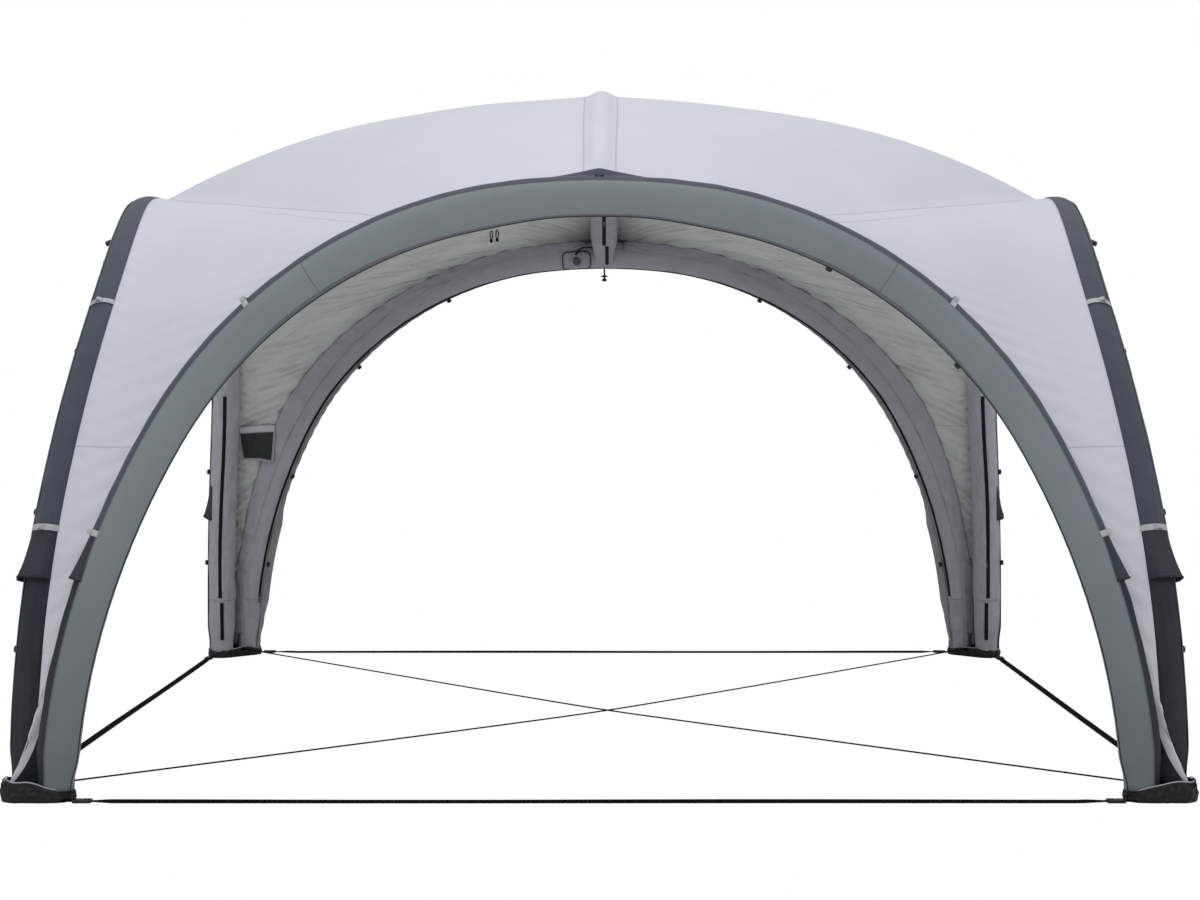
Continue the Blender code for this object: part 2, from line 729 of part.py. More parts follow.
def add_boot(name, turn):
    """Add the boot of the front left corner, turned to its own corner."""
    centres = [(-SPAN_HALF, -FOOT_OFFSET), (-FOOT_OFFSET, -SPAN_HALF), (-FOOT_OFFSET, -FOOT_OFFSET)]
    radius = boot_radius()
    levels = (
        (radius, 0.0), (radius + BOOT_DRAFT, BOOT_HEIGHT),
        (radius + BOOT_DRAFT - BOOT_WALL, BOOT_HEIGHT), (radius - BOOT_WALL, BOOT_SOLE),
    )
    rings = []
    for reach, height in levels:
        rings.append([(point.x, point.y, height) for point in rounded_hull(centres, reach)])
    matrix = Matrix.Rotation(turn, 4, "Z")
    mesh = mesh_of(name, *solid_along(np.array(rings)))
    boot = place(name, mesh, "boot_black", matrix)
    for swap in (False, True):
        rings = []
        for height in (strap_height() - TAB_THICK / 2.0, strap_height() + TAB_THICK / 2.0):
            rings.append([(y, x, height) if swap else (x, y, height) for x, y in tab_outline()])
        tab = place("tab", mesh_of("tab", *solid_along(np.array(rings))), "boot_black", matrix)
        combine(boot, tab, "UNION")
    inner = cord_end() + GAP
    reach = corner_reach() - radius + BOOT_WALL / 2.0
    face = diagonal(-inner, 0.0, CORD_UNDER[0][2] - CORD_TAB_HEIGHT / 2.0)
    tab_d = box("tab", (inner - reach, -CORD_TAB_WIDTH / 2.0, 0.0),
                (0.0, CORD_TAB_WIDTH / 2.0, CORD_TAB_HEIGHT), "boot_black",
                matrix @ Matrix.Translation(face) @ Matrix.Rotation(math.radians(45.0), 4, "Z"))
    combine(boot, tab_d, "UNION")
    return boot


def tab_outline():
    """Return the outline of the webbing tab that leaves a boot along the front side."""
    middle = boot_radius() - BOOT_WALL / 2.0
    outside = STRAP_LINE - FOOT_OFFSET + WEB_WIDTH / 2.0
    inside = outside - WEB_WIDTH
    last = math.acos(inside / middle)
    first = math.acos(min(1.0, outside / middle)) + math.radians(8.0)
    points = []
    for angle in np.linspace(first, last, 5):
        points.append((-SPAN_HALF + middle * math.sin(angle), -FOOT_OFFSET - middle * math.cos(angle)))
    end = -SPAN_HALF + boot_radius() + TAB_LENGTH
    points.append((end, -FOOT_OFFSET - inside))
    points.append((end, -FOOT_OFFSET - outside))
    return points


def strap_height():
    """Return the height of a strap's middle plane at its buckles."""
    return BUCKLE_FLOOR + BUCKLE_HEIGHT / 2.0


def cord_end():
    """Return how far along the diagonal the cords reach."""
    return corner_reach() - CORD_SHORT


def corner_reach():
    """Return how far along the diagonal the middle of a corner's two feet is."""
    return (SPAN_HALF + FOOT_OFFSET) / math.sqrt(2.0)


def diagonal(along, sideways, up, turn=0.0):
    """Return the point at a distance along the front left to back right diagonal."""
    angle = math.radians(45.0) + turn
    return Vector((
        along * math.cos(angle) - sideways * math.sin(angle),
        along * math.sin(angle) + sideways * math.cos(angle),
        up,
    ))


def smooth_route(points, count):
    """Return evenly spaced points on a smooth curve through a cord's route."""
    points = np.array(points)
    padded = np.concatenate([2.0 * points[:1] - points[1:2], points, 2.0 * points[-1:] - points[-2:-1]])
    dense = []
    for index in range(1, len(padded) - 2):
        p0, p1, p2, p3 = padded[index - 1:index + 3]
        for t in np.linspace(0.0, 1.0, 24, endpoint=False):
            dense.append(0.5 * (
                2.0 * p1 + (p2 - p0) * t + (2.0 * p0 - 5.0 * p1 + 4.0 * p2 - p3) * t ** 2
                + (3.0 * p1 - p0 - 3.0 * p2 + p3) * t ** 3
            ))
    dense.append(padded[-2])
    dense = np.array(dense)
    lengths = np.concatenate([[0.0], np.cumsum(np.linalg.norm(np.diff(dense, axis=0), axis=1))])
    at = np.linspace(0.0, lengths[-1], count)
    return np.stack([np.interp(at, lengths, dense[:, axis]) for axis in range(3)], axis=-1)


def add_cord(name, route, turn):
    """Add a ground cord along a diagonal."""
    reach = cord_end()
    knots = [diagonal(share * reach, sideways, up, turn) for share, sideways, up in route]
    points = smooth_route(knots, CORD_POINTS)
    curve = bpy.data.curves.new(name, "CURVE")
    curve.dimensions = "3D"
    spline = curve.splines.new("POLY")
    spline.points.add(len(points) - 1)
    for target, point in zip(spline.points, points):
        target.co = (*point, 1.0)
    curve.bevel_depth = CORD_DIAMETER / 2.0
    curve.bevel_resolution = 2
    curve.use_fill_caps = True
    curve.materials.append(finish("webbing_black"))
    item = bpy.data.objects.new(name, curve)
    bpy.context.scene.collection.objects.link(item)
    return item


def buckle_start():
    """Return the distance from the middle of a side to its buckles' mating face."""
    return SPAN_HALF - boot_radius() - TAB_LENGTH - GAP - FEMALE_LENGTH


def add_strap(name, turn):
    """Add the ground strap of the front side, turned to its own side."""
    end = buckle_start() - MALE_LENGTH + STRAP_ENGAGED
    ground = WEB_THICK / 2.0 + GAP
    rise = strap_height() - ground
    stations = [(end - back, ground + rise * share) for back, share in STRAP_RISE]
    stations = [(-x, z) for x, z in stations] + [(x, z) for x, z in stations[::-1]]
    half = WEB_WIDTH / 2.0
    grids = []
    for lift in (WEB_THICK / 2.0, -WEB_THICK / 2.0):
        grids.append(np.array([
            [(x, -STRAP_LINE - half, z + lift), (x, -STRAP_LINE + half, z + lift)]
            for x, z in stations
        ]))
    mesh = mesh_of(name, *wall_between(grids[0], grids[1], False))
    return place(name, mesh, "webbing_black", Matrix.Rotation(turn, 4, "Z"))


def female_mesh():
    """Return the socket half of a buckle, its mouth at the origin and open to +X."""
    half = BUCKLE_WIDTH / 2.0
    top = BUCKLE_FLOOR + BUCKLE_HEIGHT
    body = box("socket", (-FEMALE_LENGTH, -half, BUCKLE_FLOOR), (0.0, half, top), "buckle_black")
    low = BUCKLE_FLOOR + BUCKLE_WALL
    high = top - BUCKLE_WALL
    inner = half - BUCKLE_WALL - CLEAR
    depth = PRONG_LENGTH + CLEAR
    cavity = box("cavity", (-depth, -inner, low), (CLEAR, inner, high), "buckle_black")
    combine(body, cavity, "DIFFERENCE")
    window = box("window", (-0.8 * depth, -half - CLEAR, low), (-0.3 * depth, half + CLEAR, high),
                 "buckle_black")
    combine(body, window, "DIFFERENCE")
    slot_end = -FEMALE_LENGTH + BUCKLE_WALL
    slot = box("slot", (slot_end, -WEB_WIDTH / 2.0, 0.0),
               (slot_end + 2.0 * WEB_THICK, WEB_WIDTH / 2.0, top + CLEAR), "buckle_black")
    combine(body, slot, "DIFFERENCE")
    bevel_edges(body, 0.0012)
    return take_mesh(body, "buckle_socket")


def male_mesh():
    """Return the prong half of a buckle, its prongs to -X and the strap's slot to +X."""
    half = BUCKLE_WIDTH / 2.0
    top = BUCKLE_FLOOR + BUCKLE_HEIGHT
    body = box("plug", (GAP, -half, BUCKLE_FLOOR), (MALE_LENGTH, half, top), "buckle_black")
    slot_half = WEB_WIDTH / 2.0 + CLEAR
    slot_low = strap_height() - WEB_THICK / 2.0 - CLEAR
    slot_high = strap_height() + WEB_THICK / 2.0 + CLEAR
    slot = box("slot", (MALE_LENGTH - SLOT_DEPTH, -slot_half, slot_low),
               (MALE_LENGTH + CLEAR, slot_half, slot_high), "buckle_black")
    combine(body, slot, "DIFFERENCE")
    for start in (MALE_LENGTH - 0.85 * SLOT_DEPTH, MALE_LENGTH - 0.42 * SLOT_DEPTH):
        window = box("window", (start, -slot_half, slot_low),
                     (start + 0.25 * SLOT_DEPTH, slot_half, top + CLEAR), "buckle_black")
        combine(body, window, "DIFFERENCE")
    bevel_edges(body, 0.0012)
    low = BUCKLE_FLOOR + BUCKLE_WALL + CLEAR
    high = top - BUCKLE_WALL - CLEAR
    outer = half - BUCKLE_WALL - 2.0 * CLEAR
    for near, far in ((-outer, PRONG_WIDTH - outer), (-PRONG_WIDTH / 2.0, PRONG_WIDTH / 2.0),
                      (outer - PRONG_WIDTH, outer)):
        prong = box("prong", (-PRONG_LENGTH, near, low), (2.0 * CLEAR, far, high), "buckle_black")
        combine(body, prong, "UNION")
    return take_mesh(body, "buckle_plug")


def bevel_edges(item, width):
    """Round the long outer corners of a moulded piece in place."""
    shape = bmesh.new()
    shape.from_mesh(item.data)
    low = min(vert.co.z for vert in shape.verts)
    high = max(vert.co.z for vert in shape.verts)
    side = max(abs(vert.co.y) for vert in shape.verts)
    edges = [
        edge for edge in shape.edges
        if all(abs(abs(vert.co.y) - side) < 1e-6 for vert in edge.verts)
        and all(min(vert.co.z - low, high - vert.co.z) < 1e-6 for vert in edge.verts)
        and abs(edge.verts[0].co.z - edge.verts[1].co.z) < 1e-6
    ]
    bmesh.ops.bevel(shape, geom=edges, offset=width, segments=1, affect="EDGES")
    shape.to_mesh(item.data)
    shape.free()


def take_mesh(item, name):
    """Return an object's mesh under a new name, and remove the object."""
    mesh = item.data
    mesh.name = name
    bpy.data.objects.remove(item, do_unlink=True)
    return mesh


def add_buckles():
    """Add the eight side release buckles, one at each end of each strap."""
    female = female_mesh()
    male = male_mesh()
    for side, turn in SIDES:
        for end, sign in (("left", -1.0), ("right", 1.0)):
            spot = Matrix.Translation((sign * buckle_start(), -STRAP_LINE, 0.0))
            facing = Matrix.Rotation(0.0 if sign < 0.0 else math.pi, 4, "Z")
            matrix = Matrix.Rotation(turn, 4, "Z") @ spot @ facing
            place(f"buckle_socket_{side}_{end}", female, "buckle_black", matrix)
            place(f"buckle_plug_{side}_{end}", male, "buckle_black", matrix)


def add_pocket(name, grid, lengths):
    """Add the mesh pocket sewn inside the back left corner of the canopy."""
    heights = grid[:len(lengths), 0, 2]
    inner = np.zeros((5, 6, 3))
    outer = np.zeros((5, 6, 3))
    for i, up_share in enumerate(np.linspace(0.0, 1.0, 5)):
        near, far = (1.0 - up_share) * np.array(POCKET_LOW) + up_share * np.array(POCKET_HIGH)
        for j, (height, share) in enumerate(np.linspace(near, far, 6)):
            row = np.interp(height, heights, np.arange(len(heights)))
            column = share * CANOPY_COLUMNS
            spot = grid_at(grid, row, column)
            up = grid_at(grid, row + 0.2, column) - grid_at(grid, row - 0.2, column)
            across = grid_at(grid, row, column + 0.2) - grid_at(grid, row, column - 0.2)
            inside = unit(np.cross(across, up))
            if np.dot(inside, spot * np.array([1.0, 1.0, 0.0])) > 0.0:
                inside = -inside
            bow = math.sin(math.pi * j / 5.0) * math.sin(math.pi / 2.0 * min(1.0, i / 3.0))
            depth = POCKET_STAND + POCKET_DEPTH * bow
            inner[i, j] = spot + inside * depth
            outer[i, j] = spot + inside * (depth + POCKET_THICK)
    mirror = np.array([1.0, -1.0, 1.0])
    mesh = mesh_of(name, *wall_between(outer * mirror, inner * mirror, False))
    return place(name, mesh, "mesh_black")


def frame_matrix(origin, x_axis, y_axis):
    """Return the matrix of an origin and two axes, with Z square to them."""
    x_axis = Vector(x_axis).normalized()
    z_axis = x_axis.cross(Vector(y_axis)).normalized()
    y_axis = z_axis.cross(x_axis)
    matrix = Matrix((x_axis, y_axis, z_axis)).transposed().to_4x4()
    matrix.translation = Vector(origin)
    return matrix


def radial_matrix(beam, index, share, angle, height):
    """Return a matrix with Z out of a beam at an angle and X along the beam."""
    centre, crownward, inward = beam.at(index, share)
    out = math.cos(angle) * crownward + math.sin(angle) * inward
    along = np.cross(crownward, inward)
    return frame_matrix(centre + out * height, along, np.cross(out, along))


def nearest_section(beam, axis, value):
    """Return the section and share at which a beam's centre line passes a coordinate."""
    line = beam.centres[:, axis]
    for index in range(len(line) - 1):
        low, high = sorted((line[index], line[index + 1]))
        if low <= value <= high:
            return index, (value - line[index]) / (line[index + 1] - line[index])
    raise ValueError("the beam does not reach that coordinate")


def add_valve(sleeve, beam):
    """Add the inflation valve and its cap, and cut its window in the sleeve."""
    index, share = nearest_section(beam, 0, VALVE_X)
    apothem = (BEAM_RADIUS - bladder_radius_drop()) * math.cos(math.pi / BLADDER_SIDES)
    matrix = radial_matrix(beam, index, share, VALVE_ANGLE, apothem + CLEAR)
    corner = 0.02
    long_half = WINDOW_LENGTH / 2.0 - corner
    wide_half = WINDOW_WIDTH / 2.0 - corner
    centres = [(-long_half, -wide_half), (long_half, -wide_half), (long_half, wide_half),
               (-long_half, wide_half)]
    rings = []
    for height in (-CLEAR / 2.0, BEAM_RADIUS / 2.0):
        rings.append([(p.x, p.y, height) for p in rounded_hull(centres, corner)])
    cutter = place("window", mesh_of("window", *solid_along(np.array(rings))), "boot_black", matrix)
    combine(sleeve, cutter, "DIFFERENCE")
    neck_top = VALVE_BASE_HEIGHT + VALVE_NECK_HEIGHT
    body = turned((
        (VALVE_BASE_RADIUS, 0.0), (VALVE_BASE_RADIUS, VALVE_BASE_HEIGHT),
        (VALVE_NECK_RADIUS, VALVE_BASE_HEIGHT), (VALVE_NECK_RADIUS, neck_top),
    ), 20)
    place("valve_body", mesh_of("valve_body", *body), "valve_grey", matrix)
    bore = VALVE_NECK_RADIUS + CLEAR
    low = neck_top + CLEAR + VALVE_CAP_WALL - VALVE_CAP_HEIGHT
    top = low + VALVE_CAP_HEIGHT
    cap = turned((
        (bore, neck_top + CLEAR), (bore, low), (VALVE_CAP_RADIUS, low), (VALVE_CAP_RADIUS, top),
    ), 2 * VALVE_CAP_GRIPS, VALVE_CAP_GRIPS, 0.0012)
    place("valve_cap", mesh_of("valve_cap", *cap), "valve_grey", matrix)


def slider_mesh():
    """Return a zip slider with its pull hanging to -X, seated at Z zero."""
    width, length, height = ZIP_BODY
    body = box("slider", (-length / 2.0, -width / 2.0, 0.0), (length / 2.0, width / 2.0, height),
               "zip_metal")
    pull_width, pull_length, pull_thick = ZIP_PULL
    pull = box("pull", (-length / 2.0 - pull_length, -pull_width / 2.0, height / 2.0 - pull_thick / 2.0),
               (CLEAR - length / 2.0, pull_width / 2.0, height / 2.0 + pull_thick / 2.0), "zip_metal")
    combine(body, pull, "UNION")
    return take_mesh(body, "zip_slider")


def add_zip_sliders(back_beam, ridge_beam):
    """Add the sliders of the leg zip and of the ridge zip at the low ends of their zips."""
    mesh = slider_mesh()
    heights = back_beam.centres[:, 2]
    right = np.arange(len(heights)) > len(heights) / 2.0
    index = max(i for i in range(len(heights) - 1) if right[i] and heights[i] > LEG_ZIP_LOW)
    share = (LEG_ZIP_LOW - heights[index]) / (heights[index + 1] - heights[index])
    radius = (1.0 - share) * back_beam.radii[index] + share * back_beam.radii[index + 1]
    face = radius * math.cos(math.pi / SLEEVE_SIDES) + GAP
    leg = radial_matrix(back_beam, index, share, LEG_ZIP_ANGLE, face)
    place("zip_slider_leg", mesh, "zip_metal", upright(leg))
    index, share = nearest_section(ridge_beam, 1, RIDGE_ZIP_Y)
    ridge = radial_matrix(ridge_beam, index, share, math.pi, BEAM_RADIUS + GAP)
    place("zip_slider_ridge", mesh, "zip_metal", upright(ridge))


def upright(matrix):
    """Return a matrix turned about its Z so that its X points up rather than down."""
    if matrix.col[0].z < 0.0:
        return matrix @ Matrix.Rotation(math.pi, 4, "Z")
    return matrix


def add_toggle(back_beam):
    """Add the lantern toggle that hangs under the back arch's crown."""
    index, share = nearest_section(back_beam, 0, 0.0)
    centre, crownward, _ = back_beam.at(index, share)
    under = centre - BEAM_RADIUS * crownward
    profile = (
        (TOGGLE_WAIST, -TOGGLE_HEIGHT), (TOGGLE_RADIUS * 0.8, -0.85 * TOGGLE_HEIGHT),
        (TOGGLE_RADIUS * 0.6, -0.62 * TOGGLE_HEIGHT), (TOGGLE_WAIST, -0.5 * TOGGLE_HEIGHT),
        (TOGGLE_WAIST, -0.36 * TOGGLE_HEIGHT), (TOGGLE_RADIUS, -0.28 * TOGGLE_HEIGHT),
        (TOGGLE_RADIUS, -0.16 * TOGGLE_HEIGHT), (TOGGLE_WAIST, 0.0),
        (TOGGLE_WAIST, TOGGLE_STEM - 1.5 * TOGGLE_WAIST), (TOGGLE_TIP, TOGGLE_STEM),
    )
    profile = [(radius, height - TOGGLE_STEM) for radius, height in profile]
    matrix = Matrix.Translation((0.0, under[1], under[2] - CLEAR))
    place("lantern_toggle", mesh_of("lantern_toggle", *turned(profile, 12)), "buckle_black", matrix)


def add_tie_loops(front_beam):
    """Add the two tie loops that hang under the front fascia's hem."""
    hem = fascia_hem(front_beam, FASCIA_THICK / 2.0)
    for number, x in enumerate(LOOP_XS, 1):
        radius = LOOP_CORD / 2.0
        over = np.interp(x, hem[:, 0], hem[:, 2])
        origin = Vector((x, np.interp(x, hem[:, 0], hem[:, 1]), over - radius - CLEAR))
        name = f"tie_loop_{number}"
        width = LOOP_WIDTH / 2.0 - radius
        long = LOOP_HEIGHT - LOOP_WIDTH
        rings = []
        for step in range(16):
            angle = 2.0 * math.pi * step / 16
            shift = -width - long / 2.0 * (1.0 - math.sin(angle))
            core = Vector((width * math.cos(angle), 0.0, shift + width * math.sin(angle)))
            out = Vector((math.cos(angle), 0.0, math.sin(angle)))
            ring = []
            for turn in range(6):
                tilt = 2.0 * math.pi * turn / 6
                ring.append(core + radius * (math.cos(tilt) * out + Vector((0.0, math.sin(tilt), 0.0))))
            rings.append([tuple(point) for point in ring])
        faces = []
        for i in range(16):
            for j in range(6):
                faces.append((i * 6 + j, i * 6 + (j + 1) % 6, (i + 1) % 16 * 6 + (j + 1) % 6,
                              (i + 1) % 16 * 6 + j))
        points = [point for ring in rings for point in ring]
        loop = place(name, mesh_of(name, points, faces), "webbing_black", Matrix.Translation(origin))
        knot_profile = ((0.0015, -LOOP_KNOT), (LOOP_KNOT, -0.3 * LOOP_KNOT), (LOOP_KNOT, LOOP_KNOT),
                        (0.0015, 1.8 * LOOP_KNOT))
        knot = place("knot", mesh_of("knot", *turned(knot_profile, 8)), "webbing_black",
                     Matrix.Translation(origin + Vector((0.0, 0.0, -LOOP_HEIGHT))))
        combine(loop, knot, "UNION")


def add_crown_clips(beams):
    """Add the clips that hold the canopy's peak on the front and back crowns."""
    length, width, height = CLIP_SIZE
    for side, beam in beams:
        index, share = nearest_section(beam, 0, 0.0)
        face = BEAM_RADIUS * math.cos(math.pi / SLEEVE_SIDES) + GAP
        matrix = radial_matrix(beam, index, share, -math.pi / SLEEVE_SIDES, face)
        clip = box(f"crown_clip_{side}", (-length / 2.0, -width / 2.0, 0.0),
                   (length / 2.0, width / 2.0, height), "buckle_black", matrix)
        notch = box("notch", (-length / 4.0, -width / 2.0 - CLEAR, height / 2.0),
                    (length / 4.0, width / 2.0 + CLEAR, height + CLEAR), "buckle_black", matrix)
        combine(clip, notch, "DIFFERENCE")


SIDES = (
    ("front", 0.0), ("right", math.pi / 2.0), ("back", math.pi), ("left", 1.5 * math.pi),
)
CORNERS = (
    ("front_left", 0.0), ("front_right", math.pi / 2.0), ("back_right", math.pi),
    ("back_left", 1.5 * math.pi),
)


def build():
    """Build every piece of the tent."""
    clear_scene()
    gable = Arch(GABLE_CROWN_HEIGHT, GABLE_LEAN, GABLE_PULL, GABLE_PULL_SHIFT)
    flank = Arch(FLANK_CROWN_HEIGHT, FLANK_LEAN, FLANK_PULL, FLANK_PULL_SHIFT)
    seam = gable.length_at_span(SEAM_HALF_WIDTH)
    strip = gable.length_at_span(RIDGE_STRIP_HALF)
    crown_lengths = np.linspace(seam, strip, CROWN_ROWS + 1)[1:]
    gable_lengths = half_stations(gable, seam, crown_lengths)
    flank_lengths = half_stations(flank, flank.half, [])
    gable_beam = arch_beam(gable, gable_lengths, False)
    flank_beam = arch_beam(flank, flank_lengths, True)

    beams = {}
    sleeves = {}
    for number, (side, _) in enumerate(SIDES):
        beam = (gable_beam if number % 2 == 0 else flank_beam).turned_about_z(number)
        beams[side] = beam
        sleeves[side] = add_sleeve(f"sleeve_{side}", beam, "sleeve_navy")
        add_bladder(f"bladder_{side}", beam)
        material = "fascia_green_grey" if number % 2 == 0 else "sleeve_navy"
        add_fascia(f"fascia_{side}", beam.part(1, -1), material)

    crown = np.array([0.0, gable.points([gable.half], -1.0)[0, 1], GABLE_CROWN_HEIGHT])
    ridge = Ridge(-crown[1])
    ridge_beam = ridge.beam()
    add_sleeve("sleeve_ridge", ridge_beam, "sleeve_navy")
    add_bladder("bladder_ridge", ridge_beam.part(1, -1))
    add_ridge_cover("ridge_cover", ridge, crown)

    first = 2
    half = len(gable_lengths)
    edge = np.array([CANOPY_EDGE])
    lift = GAP + CANOPY_THICK / 2.0
    front_edge = gable_beam.part(first, half).skin(edge, lift)[:, 0]
    left_beam = flank_beam.turned_about_z(3)
    side_all = left_beam.skin(edge, lift)[:, 0]
    side_edge = side_all[len(flank_lengths) - 1:][::-1][first:]
    columns = CANOPY_COLUMNS + 1
    ends = ridge.angle_at(front_edge[-1, 1])
    ridge_angles = np.linspace(ends, 0.0, columns)
    centres, crownward = ridge.frame(ridge_angles)
    ridge_line = centres + crownward * (BEAM_RADIUS - RIDGE_STRIP_DROP)
    ridge_line[:, 0] = -RIDGE_STRIP_HALF
    blend = (np.linspace(1.0, 0.0, columns) ** 4)[:, None]
    ridge_line = ridge_line + (front_edge[-1] - ridge_line[0]) * blend
    share = np.linspace(0.0, 1.0, 2 * CROWN_ROWS + 1)
    roof_line = np.zeros((len(share), 3))
    roof_line[:, 0] = side_edge[-1, 0] + (ridge_line[-1, 0] - side_edge[-1, 0]) * share
    climb = ridge_line[-1, 2] - side_edge[-1, 2]
    roof_line[:, 2] = side_edge[-1, 2] + climb * (1.0 - (1.0 - share) ** ROOF_FULLNESS)
    grid = canopy_grid(front_edge, side_edge, ridge_line, roof_line)
    add_canopy_half("canopy_left", grid, -1.0)
    add_canopy_half("canopy_right", grid, 1.0)
    add_pocket("mesh_pocket", grid, side_edge)

    for corner, turn in CORNERS:
        add_boot(f"boot_{corner}", turn)
    for side, turn in SIDES:
        add_strap(f"strap_{side}", turn)
    add_buckles()
    add_cord("cord_under", CORD_UNDER, 0.0)
    add_cord("cord_over", CORD_OVER, math.pi / 2.0)

    add_valve(sleeves["back"], beams["back"])
    add_zip_sliders(beams["back"], ridge_beam)
    add_toggle(beams["back"])
    add_tie_loops(beams["front"])
    add_crown_clips((("front", beams["front"]), ("back", beams["back"])))


build()
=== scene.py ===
"""Photographic scene of the inflatable party tent, dressed over its CAD frame.

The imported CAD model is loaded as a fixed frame. Each soft sub-assembly (air
beams, fascias, canopy, boots, straps, cords, pocket) is rebuilt here as a dense
cloth surface that follows the same centre lines as the CAD, and the hard pieces
(buckles, clips, tie loops, valve, toggle, zip sliders) keep their CAD shape with
better finishes.

Metres, +Z up, the front faces -Y, the origin is on the ground in the middle.
"""

from __future__ import annotations

import logging
import math
from collections.abc import Callable, Iterable, Mapping, Sequence
from dataclasses import dataclass, field, replace
from enum import Enum
from itertools import product

import bpy
import numpy as np
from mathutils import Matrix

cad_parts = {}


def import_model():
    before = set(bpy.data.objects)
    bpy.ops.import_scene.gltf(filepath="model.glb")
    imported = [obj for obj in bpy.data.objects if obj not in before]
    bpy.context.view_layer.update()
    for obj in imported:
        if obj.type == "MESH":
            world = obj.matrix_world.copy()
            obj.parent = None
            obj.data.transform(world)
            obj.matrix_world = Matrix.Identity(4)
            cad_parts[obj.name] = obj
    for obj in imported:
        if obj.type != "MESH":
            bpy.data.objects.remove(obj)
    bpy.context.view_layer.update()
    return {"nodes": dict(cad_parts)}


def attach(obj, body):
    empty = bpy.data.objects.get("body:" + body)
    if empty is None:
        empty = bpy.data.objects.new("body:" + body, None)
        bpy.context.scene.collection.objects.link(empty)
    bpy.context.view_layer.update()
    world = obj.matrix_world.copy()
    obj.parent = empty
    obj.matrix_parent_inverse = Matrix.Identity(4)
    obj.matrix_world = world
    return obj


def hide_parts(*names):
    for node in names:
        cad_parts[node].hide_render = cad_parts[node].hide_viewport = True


LOG = logging.getLogger("party_tent")

Array = np.ndarray
Color = tuple[float, float, float]
UP = np.array([0.0, 0.0, 1.0])
WHITE = (1.0, 1.0, 1.0, 1.0)

# ---------------------------------------------------------------- small maths


def linear(color: Color) -> Color:
    """Turn a display colour into the linear one that shaders take.

    Args:
        color: Red, green and blue from 0 to 255, as they look on screen.

    Returns:
        The same colour in linear light, each channel from 0 to 1.
    """
    shares = [channel / 255.0 for channel in color]
    return tuple(c / 12.92 if c <= 0.04045 else ((c + 0.055) / 1.055) ** 2.4 for c in shares)


def unit(vectors: Array) -> Array:
    """Scale vectors to length one.

    Args:
        vectors: Vectors along the last axis.

    Returns:
        Vectors of the same directions, each of length one.
    """
    return vectors / np.maximum(np.linalg.norm(vectors, axis=-1, keepdims=True), 1e-12)


def smooth_step(share: Array | float) -> Array:
    """Ease a share at both ends: 3 s^2 - 2 s^3, held to 0 and 1 outside them.

    Args:
        share: The share of the way.

    Returns:
        The eased share.
    """
    share = np.clip(share, 0.0, 1.0)
    return share * share * (3.0 - 2.0 * share)


def hill(position: Array, centre: float, width: float) -> Array:
    """Give a smooth hill, exp(-((p - centre) / width)^2).

    Args:
        position: Where the hill is read.
        centre: Where it is highest.
        width: Distance from its top at which it has fallen to 1/e.

    Returns:
        Heights from 0 to 1.
    """
    return np.exp(-(((position - centre) / width) ** 2))


def ripple(u: Array, v: Array, seed: int, wave: float, count: int = 7) -> Array:
    """Sum sine waves of random heading: sum sin(k (u cos h + v sin h) + p) / sqrt(n).

    Args:
        u: First coordinate, in metres.
        v: Second coordinate, in metres.
        seed: Seed of the headings, wavelengths and phases.
        wave: Middle wavelength, in metres.
        count: Number of waves.

    Returns:
        Heights of about -1 to 1.
    """
    rng = np.random.default_rng(seed)
    total = np.zeros(np.broadcast(u, v).shape)
    for _ in range(count):
        heading = rng.uniform(0.0, 2.0 * math.pi)
        number = 2.0 * math.pi / (wave * rng.uniform(0.6, 1.7))
        phase = rng.uniform(0.0, 2.0 * math.pi)
        total = total + np.sin(number * (u * math.cos(heading) + v * math.sin(heading)) + phase)
    return total / math.sqrt(count)


def signed_power(values: Array, power: float) -> Array:
    """Sharpen or soften a wave and keep its sign: sign(v) |v|^p.

    Args:
        values: The wave's values.
        power: The power p.

    Returns:
        The changed values.
    """
    return np.sign(values) * np.abs(values) ** power


def gathers(along: Array, seed: int, pitch: float) -> Array:
    """Give uneven pleats along a seam: sin(2 pi s / pitch + 1.8 sin(slow s)), sharpened.

    Args:
        along: Distance along the seam, in metres.
        seed: Seed of the unevenness.
        pitch: Middle distance between two pleats, in metres.

    Returns:
        Heights from -1 to 1.
    """
    rng = np.random.default_rng(seed)
    slow = 1.8 * np.sin(along * rng.uniform(2.0, 4.0) + rng.uniform(0.0, 6.0))
    slow = slow + 1.1 * np.sin(along * rng.uniform(6.0, 9.0) + rng.uniform(0.0, 6.0))
    return signed_power(np.sin(2.0 * math.pi * along / pitch + slow), 0.8)


def run_length(points: Array, axis: int = 0) -> Array:
    """Add up the distance along lines of points.

    Args:
        points: Points, the last axis being x, y and z.
        axis: The axis that runs along the lines.

    Returns:
        The distance of every point from its line's start.
    """
    steps = np.linalg.norm(np.diff(points, axis=axis), axis=-1)
    start = np.zeros_like(np.take(steps, [0], axis=axis))
    return np.concatenate([start, np.cumsum(steps, axis=axis)], axis=axis)


def resample(at: Array | float, lengths: Array, values: Array) -> Array:
    """Read the values along a line at other lengths.

    Args:
        at: The lengths to read at.
        lengths: The lengths where the values are known.
        values: The known values, a row for each length.

    Returns:
        The values there, with the same columns.
    """
    return np.stack([np.interp(at, lengths, column) for column in values.T], axis=-1)


def quarter_turn(quarters: int) -> Array:
    """Give the matrix that turns rows of points about the tent's middle.

    Args:
        quarters: Quarter turns, anticlockwise from above.

    Returns:
        The matrix, to be put after the points.
    """
    sine = (0.0, 1.0, 0.0, -1.0)[quarters % 4]
    cosine = (1.0, 0.0, -1.0, 0.0)[quarters % 4]
    return np.array([[cosine, sine, 0.0], [-sine, cosine, 0.0], [0.0, 0.0, 1.0]])


# ------------------------------------------------------------------- finishes


